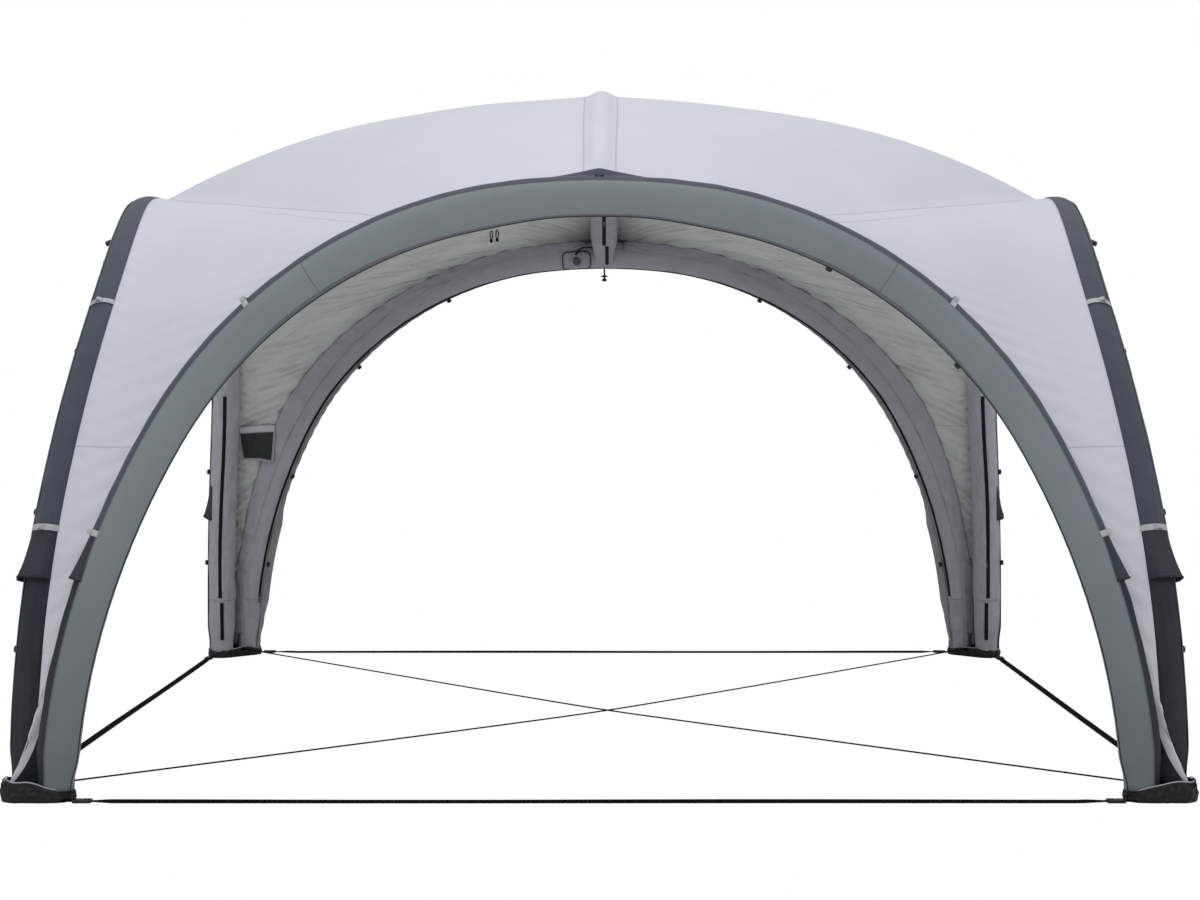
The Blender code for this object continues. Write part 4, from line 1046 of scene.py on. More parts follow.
class Side(Enum):
    """The four sides, with their quarter turns from the front."""

    FRONT = 0
    RIGHT = 1
    BACK = 2
    LEFT = 3

    @property
    def word(self) -> str:
        """The side's name as the CAD nodes write it."""
        return self.name.lower()

    @property
    def gabled(self) -> bool:
        """Whether the ridge beam meets this side's arch."""
        return self in (Side.FRONT, Side.BACK)


GABLE = ArchLine(1.851, 0.091, 0.120, 0.89)
FLANK = ArchLine(1.916, 0.052, 0.077, 1.37)


def arch_of(side: Side) -> ArchLine:
    """Give a side's centre line.

    Args:
        side: The side.

    Returns:
        The line as it stands over the front.
    """
    return GABLE if side.gabled else FLANK


def stations(line: ArchLine, count: int, extra: Iterable[float] = (), start: float = 0.0) -> Array:
    """Space sections evenly from foot to foot, with some at given lengths as well.

    Args:
        line: The arch's line.
        count: The number of even sections.
        extra: Lengths from the foot that get a section on both legs.
        start: Length from the foot at which the sections start.

    Returns:
        The lengths from the left foot, in order.
    """
    even = np.linspace(start, 2.0 * line.half - start, count)
    added = [value for length in extra for value in (length, 2.0 * line.half - length)]
    close = (even[1] - even[0]) * 0.35
    kept = [value for value in even if all(abs(value - other) > close for other in added)]
    return np.array(sorted([*kept, *added]))


# ------------------------------------------------------------------ air beams


@dataclass(frozen=True)
class AirBeams:
    """The four arched sleeves, blown up by the bladders inside them."""

    rows: int = 430
    outer_columns: int = 30
    inner_columns: int = 40
    inner_start: float = math.radians(33.0)
    gable_end: float = math.radians(240.0)
    flank_end: float = math.radians(257.0)
    step_height: float = 0.262
    step: float = 0.0022

    def build(self) -> None:
        """Build and dress the four sleeves."""
        for side in Side:
            self._sleeve(side)

    def _sleeve(self, side: Side) -> None:
        """Build one sleeve: radius r + folds(angle, length), zones by angle and height.

        Args:
            side: The side it stands on.
        """
        line = arch_of(side)
        cuff = line.length_at(height=CUFF_HEIGHT)
        step = line.length_at(height=self.step_height)
        lengths = stations(line, self.rows, (step, step + 0.004, cuff))
        beam = line.beam(lengths).turned(side.value)
        end = self.gable_end if side.gabled else self.flank_end
        outer = np.linspace(end - 2.0 * math.pi, self.inner_start, self.outer_columns,
                            endpoint=False)
        inner = np.linspace(self.inner_start, end, self.inner_columns, endpoint=False)
        angles = np.concatenate([outer, inner])
        foot = np.minimum(lengths, 2.0 * line.half - lengths)[:, None]
        turn = angles[None, :]
        folds = 0.0007 * ripple(turn * BEAM_RADIUS, lengths[:, None], 40 + side.value, 0.16)
        above = smooth_step((foot - cuff) / 0.04) * smooth_step((cuff + 0.42 - foot) / 0.40)
        folds = folds + 0.0012 * above * np.sin(13.0 * turn + 2.0 * np.sin(foot * 9.0))
        below = smooth_step((cuff - foot) / 0.05)
        shown = smooth_step((turn + 1.0) / 0.3) * (1.0 - hill(turn, math.radians(135.0), 0.35))
        folds = folds + 0.0018 * below * shown * ripple(turn * BEAM_RADIUS, lengths[:, None] * 0.15,
                                                        50 + side.value, 0.034)
        inside = (turn > self.inner_start) * smooth_step((step + 0.004 - foot) / 0.004)
        folds = folds - self.step * inside
        if side.gabled:
            over = smooth_step((turn + 0.12) / 0.20) * (1.0 - smooth_step((turn - 0.7) / 0.5))
            folds = folds + over * crown_peak(lengths - line.half)[:, None]
        points = beam.skin(angles, folds)
        # Distance from where the canopy's edge meets the tube; the inner finish paints shade along it.
        edge = (turn - self.inner_start) * BEAM_RADIUS
        ring = np.where(turn > self.inner_start + 0.05, foot - step - 0.01, 1.0)
        seam = np.where(np.abs(edge) < np.abs(ring), edge, ring)
        seam = np.broadcast_to(seam, points.shape[:2])
        middle = (foot[1:] + foot[:-1]) / 2.0
        zones = np.where(np.arange(len(angles))[None, :] < self.outer_columns,
                         np.where(middle < cuff, 1, 0), 2)
        marks = {"seam": seam, "edge": np.broadcast_to(edge, points.shape[:2])}
        grid = Grid(points, zones=zones, marks=marks, wrap=True, capped=True)
        sleeve = add_piece(f"air_beam_{side.word}", [grid], (NAVY, NAVY_LOW, TUBE_INSIDE))
        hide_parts(f"sleeve_{side.word}", f"bladder_{side.word}")


# ---------------------------------------------------------------------- ridge

RIDGE_CROWN = 2.298
RIDGE_END_DROP = 0.015
RIDGE_RISE = RIDGE_CROWN - (GABLE.crown_height - RIDGE_END_DROP)
RIDGE_END_Y = FOOT_OFFSET - GABLE.lean
RIDGE_RADIUS = (RIDGE_END_Y ** 2 + RIDGE_RISE ** 2) / (2.0 * RIDGE_RISE)
RIDGE_SWEEP = math.asin(RIDGE_END_Y / RIDGE_RADIUS)
RIDGE_CLEAR = 0.0006
RIDGE_STOP = RIDGE_SWEEP - (BEAM_RADIUS + RIDGE_CLEAR
                            + RIDGE_END_DROP * math.sin(RIDGE_SWEEP)) / RIDGE_RADIUS
RIDGE_SAG = 0.048
RIDGE_SAG_LENGTH = 0.34
RIDGE_TIP_RADIUS = 0.020
RIDGE_DOME_RISE = 0.024
RIDGE_DOME_RADIUS = 0.044
RIDGE_DOME_LENGTH = 0.022
RIDGE_TAPER = 0.158


def ridge_frame(angles: Array) -> tuple[Array, Array]:
    """Follow the ridge's arc: R (0, sin a, cos a) above its centre.

    Args:
        angles: Angles from the middle, towards the back positive.

    Returns:
        Centres and crown directions.
    """
    angles = np.asarray(angles, dtype=float)
    crownward = np.stack([np.zeros_like(angles), np.sin(angles), np.cos(angles)], axis=-1)
    return RIDGE_RADIUS * crownward + np.array([0.0, 0.0, RIDGE_CROWN - RIDGE_RADIUS]), crownward


def ridge_sag(angles: Array) -> Array:
    """Give how far the ridge's ends sink in front of the arches.

    Args:
        angles: Angles from the middle.

    Returns:
        Distances down.
    """
    left = (RIDGE_STOP - np.abs(angles)) * RIDGE_RADIUS
    return RIDGE_SAG * smooth_step(1.0 - left / RIDGE_SAG_LENGTH)


def ridge_beam(count: int) -> Beam:
    """Give cross sections of the ridge beam with its tapered, domed ends.

    Args:
        count: The number of sections.

    Returns:
        The beam, from the front to the back.
    """
    angles = np.linspace(-RIDGE_STOP, RIDGE_STOP, count)
    left = (RIDGE_STOP - np.abs(angles)) * RIDGE_RADIUS
    cap = 1.0 - np.minimum(left / RIDGE_DOME_LENGTH, 1.0)
    dome = RIDGE_TIP_RADIUS + RIDGE_DOME_RISE * np.sqrt(np.clip(1.0 - cap ** 2, 0, 1))
    taper = (BEAM_RADIUS - RIDGE_DOME_RADIUS) * smooth_step((left - RIDGE_DOME_LENGTH) / RIDGE_TAPER)
    centres, crownward = ridge_frame(angles)
    centres[:, 2] -= ridge_sag(angles)
    inward = np.tile(np.array([1.0, 0.0, 0.0]), (count, 1))
    return Beam(centres, crownward, inward, dome + taper, left, angles * RIDGE_RADIUS)


@dataclass(frozen=True)
class RidgeBeam:
    """The fifth beam, from the front crown to the back crown."""

    rows: int = 260
    columns: int = 48

    def build(self) -> None:
        """Build and dress the ridge's sleeve."""
        beam = ridge_beam(self.rows)
        angles = np.linspace(0.0, 2.0 * math.pi, self.columns, endpoint=False)
        folds = 0.0006 * ripple(angles[None] * BEAM_RADIUS, beam.lengths[:, None], 61, 0.12)
        ends = np.exp(-beam.shares / 0.06)[:, None]
        folds = folds + 0.0014 * ends * np.sin(14.0 * angles)[None]
        seam = np.broadcast_to(np.abs(beam.shares - 0.034)[:, None], folds.shape)
        grid = Grid(beam.skin(angles, folds), marks={"seam": seam}, wrap=True, capped=True)
        sleeve = add_piece("air_beam_ridge", [grid], (TUBE_INSIDE,))
        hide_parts("sleeve_ridge", "bladder_ridge")


# -------------------------------------------------------------------- fascias


@dataclass(frozen=True)
class Fascias:
    """The strips over the arches' outer faces, and the loose panels behind their hems."""

    rows: int = 330
    crown_start: float = math.radians(45.0)
    foot_start: float = math.radians(66.0)
    fall: float = 1.5
    lift: float = 0.0016
    overhang: float = 0.013
    crown_drop: float = 0.008
    hem_out: float = 0.0475
    facing_shares: tuple[float, ...] = (0.0, 0.3, 0.48, 0.55, 0.62, 0.72, 0.80, 0.90, 1.0)
    facing_widths: tuple[float, ...] = (0.003, 0.004, 0.006, 0.011, 0.015, 0.014, 0.010, 0.008, 0.008)
    back_heights: tuple[float, ...] = (0.05, 0.10, 0.25, 0.62, 0.78)
    back_rises: tuple[float, ...] = (0.030, 0.026, 0.0, 0.0, 0.030)
    splice: float = 0.90
    cover_end: float = math.radians(256.0)
    zip_shares: tuple[float, ...] = (0.0, 0.46, 0.62, 0.80, 1.0)
    zip_angles: tuple[float, ...] = (135.0, 135.0, 150.0, 168.0, 180.0)
    zip_start: float = 0.285
    panel_gap: float = 0.24
    cover_columns: int = 12
    arc_columns: int = 6
    panel_columns: int = 9
    facing_columns: int = 3
    back_columns: int = 12

    def build(self) -> None:
        """Build and dress the two fascias and the two side covers with their edges."""
        for side in Side:
            if side.gabled:
                self._fascia(side)
            else:
                self._cover(side)

    def hem(self, side: Side, beam: Beam) -> tuple[Array, Array]:
        """Give the hem's line in the beam's own directions.

        Args:
            side: The side it covers.
            beam: The beam that carries the fascia.

        Returns:
            Distances inwards and crownwards of the hem.
        """
        out = -self.hem_out * beam.radii / BEAM_RADIUS
        height = beam.centres[:, 2]
        if side is Side.BACK:
            drop = -np.interp(height, self.back_heights, self.back_rises)
        else:
            middle = 1.0 - smooth_step((np.abs(beam.centres[:, 0]) - 0.10) / 0.30)
            drop = self.crown_drop * smooth_step(beam.shares) - 0.013 * middle
            drop = drop - 0.010 * (1.0 - smooth_step((height - 0.03) / 0.09))
        return out, -(beam.radii + self.overhang + drop)

    def zip_angle(self, side: Side, shares: Array) -> Array:
        """Give the angle at which the loose panel is zipped to the beam.

        Args:
            side: The side it covers.
            shares: Shares of the way from foot to crown.

        Returns:
            Angles from the crown line.
        """
        if not side.gabled:
            return np.full_like(shares, self.cover_end)
        return np.radians(np.interp(shares, self.zip_shares, self.zip_angles))

    def panel_reach(self, side: Side, beam: Beam, angles: Array) -> Array:
        """Give how far the loose panel lies from the beam's centre line.

        Args:
            side: The side it covers.
            beam: The beam that carries it.
            angles: Angles from the crown line, one or more for each section.

        Returns:
            Distances of the panel there.
        """
        hem_in, hem_up = (value[:, None] for value in self.hem(side, beam))
        turn = np.arctan2(hem_in, hem_up) % (2.0 * math.pi)
        last = self.zip_angle(side, beam.shares)[:, None] + self.panel_gap
        back = np.clip((turn - angles) / (turn - last), 0.0, 1.0)
        reach = beam.radii[:, None] + self.lift + 0.0008
        return reach + (np.hypot(hem_in, hem_up) - reach) * (1.0 - back) ** 2.2

    def edge_angle(self, shares: Array) -> Array:
        """Give the angle of the upper edge."""
        fall = (1.0 - shares) ** self.fall
        return -(self.crown_start + (self.foot_start - self.crown_start) * fall)

    def _cover(self, side: Side) -> None:
        """Build one side cover: an arc on the skin from its edge to the zip.

        Args:
            side: The side it covers.
        """
        line = arch_of(side)
        lengths = stations(line, self.rows, start=line.length_at(height=BOOT_LINE))
        beam = line.beam(lengths).turned(side.value)
        first = self.edge_angle(beam.shares)[:, None]
        share = np.linspace(0.0, 1.0, self.cover_columns)
        angles = first + (self.cover_end - 2.0 * math.pi - first) * share
        folds = 0.0006 * ripple(lengths[:, None], angles * BEAM_RADIUS, 66 + side.value, 0.20)
        points = beam.skin(angles, self.lift + np.abs(folds))
        seam = np.broadcast_to(angles - angles[:, -1:] - 0.16, angles.shape) * BEAM_RADIUS
        cover = add_piece(f"side_cover_{side.word}", [Grid(points, marks={"seam": seam})],
                          (NAVY,), wall=THIN_CLOTH)
        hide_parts(f"fascia_{side.word}")
        self._edges(side, beam, points[:, 0], first[:, 0])

    def _edges(self, side: Side, beam: Beam, edge: Array, angle: Array) -> None:
        """Add the piping on the upper edge and the long zip at the other one.

        Args:
            side: The side it covers.
            beam: The beam that carries it.
            edge: The upper edge's points.
            angle: The upper edge's angles.
        """
        piping = swept(edge + 0.0006 * beam.normals(angle), -beam.inward, circle(0.0016))
        add_piece(f"edge_piping_{side.word}", [piping], (PIPING_NAVY,))
        lengths = beam.lengths
        if side.gabled:
            lengths = lengths[beam.centres[:, 2] > self.zip_start]
            beam = arch_of(side).beam(lengths).turned(side.value)
        last = self.zip_angle(side, beam.shares)
        out = beam.normals(last)
        lift, width = (0.0012, 0.012) if side.gabled else (0.0026, 0.009)
        path = beam.skin(last[:, None], lift)[:, 0]
        tape = swept(path, out, slab(width, 0.0018))
        teeth = swept(path + 0.0009 * out, out, slab(0.0045, 0.0016, 0.45))
        add_piece(f"long_zip_{side.word}", [tape, teeth], (BLACK_TAPE,))

    def _fascia(self, side: Side) -> None:
        """Build one fascia: an arc on the skin, a bowed panel to the hem, and the way back.

        Args:
            side: The side it covers.
        """
        line = arch_of(side)
        start = line.length_at(height=BOOT_LINE)
        lengths = stations(line, self.rows, start=start)
        beam = line.beam(lengths).turned(side.value)
        shares = beam.shares[:, None]
        first = self.edge_angle(shares)
        reach = beam.radii[:, None] + self.lift
        share = np.linspace(0.0, 1.0, self.arc_columns, endpoint=False)[None]
        arc = first + (-math.pi / 2.0 - first) * share
        arc_in, arc_up = reach * np.sin(arc), reach * np.cos(arc)
        hem_in, hem_up = self.hem(side, beam)
        hem_in, hem_up = hem_in[:, None], hem_up[:, None]
        width = np.interp(beam.shares, self.facing_shares, self.facing_widths)[:, None]
        panel = np.hypot(hem_in + reach, hem_up)
        split = 1.0 - width / panel
        plain = np.linspace(0.0, 1.0, self.panel_columns, endpoint=False)[None]
        facing = np.linspace(0.0, 1.0, self.facing_columns + 1)[None]
        t = np.concatenate([plain * split, split + (1.0 - split) * facing], axis=1)
        bow = 2.0 * t * (1.0 - t)
        panel_in = -reach * (1.0 - t) ** 2 - reach * bow * 1.02 + hem_in * t ** 2
        panel_up = hem_up * 0.55 * bow + hem_up * t ** 2
        wave = ripple(lengths[:, None], t * 0.08, 70 + side.value, 0.30)
        pucker = gathers(lengths[:, None], 74 + side.value, 0.055)
        panel_in = panel_in - (0.0012 * wave * bow + 0.0007 * pucker * t ** 2 * bow)
        turn = np.arctan2(hem_in, hem_up) % (2.0 * math.pi)
        last = self.zip_angle(side, beam.shares)[:, None] + self.panel_gap
        back = np.linspace(0.0, 1.0, self.back_columns + 1)[None, 1:]
        around = turn + (last - turn) * back
        radius = self.panel_reach(side, beam, around)
        calm = 0.0004 if side is Side.FRONT else 0.0012
        radius = radius + calm * np.sin(math.pi * back) * gathers(lengths[:, None], 78, 0.07)
        back_in, back_up = radius * np.sin(around), radius * np.cos(around)
        inward = np.concatenate([arc_in, panel_in, back_in], axis=1)
        upward = np.concatenate([arc_up, panel_up, back_up], axis=1)
        points = beam.local(inward, upward)
        outside = self.arc_columns + self.panel_columns
        zones = np.repeat((0, 1, 2), (outside, self.facing_columns, self.back_columns))
        zones = np.broadcast_to(zones, (len(lengths) - 1, len(zones)))
        splice = np.minimum(lengths, 2.0 * line.half - lengths) - line.length_at(across=self.splice)
        seam = np.broadcast_to(splice[:, None], points.shape[:2])
        grid = Grid(points, zones=zones, marks={"seam": seam})
        cloth = add_piece(f"fascia_cloth_{side.word}", [grid], (FASCIA, FACING, LOOSE_PANEL),
                          wall=THIN_CLOTH)
        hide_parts(f"fascia_{side.word}")
        hem = swept(points[:, outside + self.facing_columns], -beam.inward, circle(0.0019))
        add_piece(f"hem_cord_{side.word}", [hem], (PIPING_BLACK,))
        self._edges(side, beam, points[:, 0], first[:, 0])


# --------------------------------------------------------------------- canopy


@dataclass(frozen=True)
class Canopy:
    """The one-piece canopy: four corner panels, the roof and the strip over the ridge."""

    corner_rows: int = 120
    shoulder_rows: int = 46
    crown_rows: int = 26
    strip_rows: int = 9
    columns: int = 62
    edge: float = math.radians(32.0)
    seam_half: float = 0.652
    strip_half: float = 0.0625
    strip_end_half: float = 0.051
    strip_drop: float = 0.0185
    strip_lift: float = 0.0028
    strip_leave: float = 0.0245
    strip_ease: float = 0.62
    fullness: float = 2.47
    lift: float = 0.0013
    corner_seam: float = 1.067
    thickness: float = 0.002
    foot: float = 0.046
    cuff: float = 0.660
    crown_y: float = 1.69
    web_columns: int = 4
    tip: float = FOOT_OFFSET + 0.032
    web_top: float = 0.44
    web_halves: tuple[float, float] = (0.05, 0.488)

    def gable_lengths(self, turns: Array) -> Array:
        """Give the lengths from the foot along a gable's beam, below the seam.

        Args:
            turns: 0 at the hem, 1 at the cuff and 2 at the seam.

        Returns:
            The lengths.
        """
        ends = (GABLE.length_at(height=self.foot), GABLE.length_at(height=self.cuff),
                GABLE.length_at(across=self.seam_half))
        return np.interp(turns, (0.0, 1.0, 2.0), ends)

    def edges(self, turns: Array) -> tuple[Array, Array]:
        """Give the canopy's edges on the front arch and on the left arch, below the seam.

        Args:
            turns: 0 at the hem, 1 at the cuff and 2 at the seam.

        Returns:
            Points on the front arch, and points on the left arch.
        """
        flank = (FLANK.length_at(height=self.foot), FLANK.length_at(height=self.cuff), FLANK.half)
        front = GABLE.beam(self.gable_lengths(turns)).skin(self.edge, self.lift)[:, 0]
        lengths = 2.0 * FLANK.half - np.interp(turns, (0.0, 1.0, 2.0), flank)
        left = FLANK.beam(lengths).turned(3).skin(self.edge, self.lift)[:, 0]
        return front, left

    def corner(self, turns: Array, shares: Array) -> Array:
        """Give points of the front left corner panel: straight lines from arch to arch.

        Near the ground the lines are drawn out to the boot's corner by a hat,
        1 - |2 s - 1|^1.15, and the outermost columns become the navy webs.

        Args:
            turns: 0 at the hem, 1 at the cuff and 2 at the seam.
            shares: 0 at the front arch and 1 at the left one, a row for each turn.

        Returns:
            Points, a row for each turn.
        """
        front, left = self.edges(turns)
        front, left = front[:, None], left[:, None]
        height = front[:, :, 2:]
        web = self.web_columns / (self.columns - 1.0)
        low, top = self.web_halves
        rise = np.clip((height - 0.05) / (self.web_top - 0.05), 0.0, 1.0)
        half = low + (top - low) * (1.0 - (1.0 - rise) ** 2.2)
        half = half - (top - 0.5 + web) * smooth_step((height - self.web_top) / 0.2)
        c = np.asarray(shares)[..., None]
        shares = np.where(
            c < web, c / web * (0.5 - half), np.where(
                c > 1.0 - web, 1.0 - (1.0 - c) / web * (0.5 - half),
                0.5 + (c - 0.5) / (0.5 - web) * half))
        middle = 0.5 * (front + left)
        tip = np.concatenate([np.full_like(height, -self.tip), np.full_like(height, -self.tip),
                              middle[..., 2:]], axis=-1)
        bow = np.clip((0.62 - height) / 0.57, 0.0, 1.0) ** 3.5
        hat = 1.0 - np.abs(2.0 * shares - 1.0) ** 1.15
        return (1.0 - shares) * front + shares * left + bow * hat * (tip - middle)

    def rows(self) -> tuple[Array, Array]:
        """Space the rows of the corner panel and of the roof.

        Returns:
            The turns of the corner panel's rows, and the roof's distances from the middle.
        """
        turns = np.concatenate([np.linspace(0.0, 1.0, self.shoulder_rows, endpoint=False),
                                np.linspace(1.0, 2.0, self.corner_rows)])
        return turns, np.linspace(self.seam_half, self.strip_half, self.crown_rows)

    def quarter(self) -> tuple[Array, dict[str, Array]]:
        """Give the front left quarter: ruled corner panel, Coons patch, ridge strip.

        The Coons patch is (1-u) A(v) + u B(v) + (1-v) C(u) + v D(u) less its corners.

        Returns:
            The points, and the distances that the wrinkles and the finish need.
        """
        columns = np.linspace(0.0, 1.0, self.columns)
        turns, spans = self.rows()
        low = self.corner(turns, np.broadcast_to(columns, (len(turns), len(columns))))
        reach = [GABLE.length_at(across=span) for span in spans]
        front = GABLE.beam(np.array(reach)).skin(self.edge, self.lift)[:, 0]
        first = math.asin(front[-1, 1] / RIDGE_RADIUS)
        centres, crownward = ridge_frame(first * (1.0 - columns))
        blend = ((1.0 - columns) ** 4)[:, None]
        line = centres + crownward * (BEAM_RADIUS - self.strip_drop)
        line[:, 0] = -self.strip_half
        line = line + (front[-1] - line[0]) * blend
        side = low[-1, -1]
        along = np.linspace(0.0, 1.0, self.crown_rows)
        roof = np.zeros((len(along), 3))
        roof[:, 0] = side[0] + (line[-1, 0] - side[0]) * along
        roof[:, 2] = side[2] + (line[-1, 2] - side[2]) * (1.0 - (1.0 - along) ** self.fullness)
        u = columns[None, :, None]
        v = along[:, None, None]
        corners = ((1.0 - v) * ((1.0 - u) * front[0] + u * roof[0])
                   + v * ((1.0 - u) * front[-1] + u * roof[-1]))
        high = ((1.0 - u) * front[:, None] + u * roof[:, None]
                + (1.0 - v) * low[-1][None] + v * line[None] - corners)
        strip = self._strip(columns, centres, crownward)
        points = np.concatenate([low, high[1:], strip])
        points[len(low) - 1:, -1, 1] = 0.0
        points[-1, :, 0] = 0.0
        return points, self._masks(points, len(low))

    def _strip(self, columns: Array, centres: Array, crownward: Array) -> Array:
        """Carry the canopy over the ridge: a slope up to the beam, then round it.

        Args:
            columns: Shares of the way from the front arch to the middle.
            centres: The ridge's centres there.
            crownward: The ridge's crown directions there.

        Returns:
            Rows from beside the ridge to its crown.
        """
        across = np.linspace(1.0, 0.0, self.strip_rows + 1)[1:] * self.strip_half
        radius = BEAM_RADIUS + self.strip_lift
        flat = np.sqrt(np.maximum(radius ** 2 - across ** 2, 0.0))
        edge = BEAM_RADIUS - self.strip_drop
        leave, ease = self.strip_leave, self.strip_ease
        slope = edge + (math.sqrt(radius ** 2 - leave ** 2) - edge) * smooth_step(
            (self.strip_half - across) / (self.strip_half - leave) * ease) / float(smooth_step(ease))
        height = np.where(across < leave, flat, slope)
        rows = centres[None] + height[:, None, None] * crownward[None]
        rows[..., 0] = -across[:, None]
        span = [GABLE.length_at(across=float(x)) for x in across]
        on_arch = GABLE.beam(np.array(span)).skin(self.edge, self.lift)[:, 0]
        gap = on_arch - rows[:, 0]
        sunk = (gap @ crownward[0])[:, None] * crownward[0]
        reach = RIDGE_RADIUS * np.arccos(np.clip(crownward @ crownward[0], -1.0, 1.0))
        slide = ((1.0 - columns) ** 4)[None, :, None]
        sink = (1.0 - smooth_step(reach / 0.15))[None, :, None]
        return rows + (gap - sunk)[:, None] * slide + sunk[:, None] * sink

    def _masks(self, points: Array, corner_rows: int) -> dict[str, Array]:
        """Measure how far each point is from the arches, the ridge and the seams.

        Args:
            points: The quarter's points.
            corner_rows: How many rows belong to the corner panel.

        Returns:
            Distances in metres by name.
        """
        across = run_length(points, 1)
        number = np.arange(len(points))[:, None]
        from_side = np.where(number < corner_rows, across[:, -1:] - across, 1.0)
        down = run_length(points, 0)
        upper = down - down[corner_rows - 1]
        lower = np.where(number < corner_rows, points[..., 2] - self.corner_seam, 1.0)
        fade = smooth_step((from_side - 0.25) / 0.2)
        second = upper + 0.028 + 0.03 * fade
        far = np.abs(points[..., 1])
        half = self.strip_end_half + (0.0575 - self.strip_end_half) * smooth_step(
            (1.66 - far) / 0.7)
        beside = np.where(points[..., 2] > 1.8, np.abs(points[..., 0]) - half, 1.0)
        along = run_length(points[:, :1], 0)
        along_side = run_length(points[:, -1:], 0)
        return {"front": across, "side": from_side, "seam_upper": upper,
                "seam_lower": lower, "seam_second": second, "seam_ridge": beside,
                "along": np.broadcast_to(along, across.shape),
                "along_side": np.broadcast_to(along_side, across.shape)}

    def build(self) -> None:
        """Build and dress the canopy."""
        points, masks = self.quarter()
        grids = []
        for sx in (1.0, -1.0):
            for sy in (1.0, -1.0):
                flipped = points * np.array([sx, sy, 1.0])
                uv = np.stack([masks["front"] * sy, run_length(points, 0) * sx], axis=-1)
                step = 1 if sx * sy > 0 else -1
                grids.append(Grid(flipped[:, ::step], uv[:, ::step], self._zones(points)[:, ::step],
                                  {name: value[:, ::step] for name, value in masks.items()}))
        shell = Shell.of(grids)
        joined, faces, first = weld(shell.points, shell.faces)
        marks = {name: value[first] for name, value in shell.marks.items()}
        normals = surface_normals(joined, faces)
        if normals[np.argmax(joined[:, 2]), 2] < 0.0:
            faces = faces[:, ::-1]
            shell.cloth = shell.cloth[:, ::-1]
            normals = -normals
        joined = joined + normals * self._wrinkles(joined, marks)[:, None]
        joined[:, 2] += crown_peak(joined[:, 0]) * np.exp(-((marks["front"] / 0.10) ** 2))
        # Distance from the ridge's back end, which places the painted shade and the fanned pleats
        # there.
        marks["crown"] = np.where(joined[:, 1] > 0.0, np.linalg.norm(
            joined - np.array([0.0, RIDGE_END_Y - 0.03, GABLE.crown_height + 0.03]), axis=1), 1.0)
        marks["fan"] = 0.16 * np.arctan2(np.abs(joined[:, 0]), RIDGE_END_Y - np.abs(joined[:, 1]))
        marks["lean"] = marks.pop("along") + 1.10 * marks["front"]
        marks["lean_side"] = marks.pop("along_side") - 0.35 * marks["side"]
        shell = Shell(joined, faces, shell.cloth, shell.zones, marks, [])
        canopy = add_piece("canopy_sheet", shell, (CANOPY, CANOPY_INSIDE, NAVY_LOW, TUBE_INSIDE),
                           wall=Wall(self.thickness, inner_finish=1))
        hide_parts("canopy_left", "canopy_right", "ridge_cover")

    def _zones(self, points: Array) -> Array:
        """Name the webs beside the legs: 2 in the outer columns below their top, else 0.

        Args:
            points: The quarter's points.

        Returns:
            The zone of each face.
        """
        number = np.arange(self.columns - 1)
        outer = (number < self.web_columns) | (number >= self.columns - 1 - self.web_columns)
        low = points[:-1, 0, 2] < self.web_top
        return np.where(low[:, None] & outer[None, :], 2, 0)

    def _wrinkles(self, points: Array, marks: dict[str, Array]) -> Array:
        """Add the cloth's wrinkles, each a wave times how near its edge is.

        Args:
            points: The canopy's points.
            marks: The distances from arches and seams.

        Returns:
            Heights along the normals.
        """
        x, y, z = points[:, 0], points[:, 1], points[:, 2]
        quarter = (x > 0.0).astype(int) + 2 * (y > 0.0).astype(int)
        shift = quarter * 0.37
        front, side = marks["front"], marks["side"]
        hold = smooth_step(front / 0.03) * smooth_step(side / 0.03)
        lean = marks["along"] + 1.10 * front + shift
        behind = np.where(y > 0.0, 1.7, 0.8)
        near_front = hold * np.exp(-front / 0.16)
        height = 0.0030 * behind * near_front * gathers(lean, 3, 0.105)
        lean = marks["along_side"] - 0.35 * side + shift
        height = height + 0.0030 * behind * hold * np.exp(-side / 0.060) * gathers(lean, 4, 0.062)
        away = self.crown_y - np.abs(y)
        crown = np.hypot(np.abs(x), away)
        turn = np.arctan2(np.abs(x), away)
        fan = np.exp(-(((crown - 0.20) / 0.13) ** 2)) * smooth_step((np.abs(x) - 0.05) / 0.05)
        height = height + 0.0030 * behind * fan * np.sin(17.0 * turn + 2.0 * np.sin(5.0 * turn))
        broad = ripple(x + 0.3 * z, y - 0.3 * z, 9, 0.55) * 0.0016
        taut = smooth_step(front / 0.15) * smooth_step(side / 0.15)
        beside = smooth_step((np.abs(x) - 0.07) / 0.1)
        return height + broad * taut * np.where(z > 1.5, beside, 1.0)


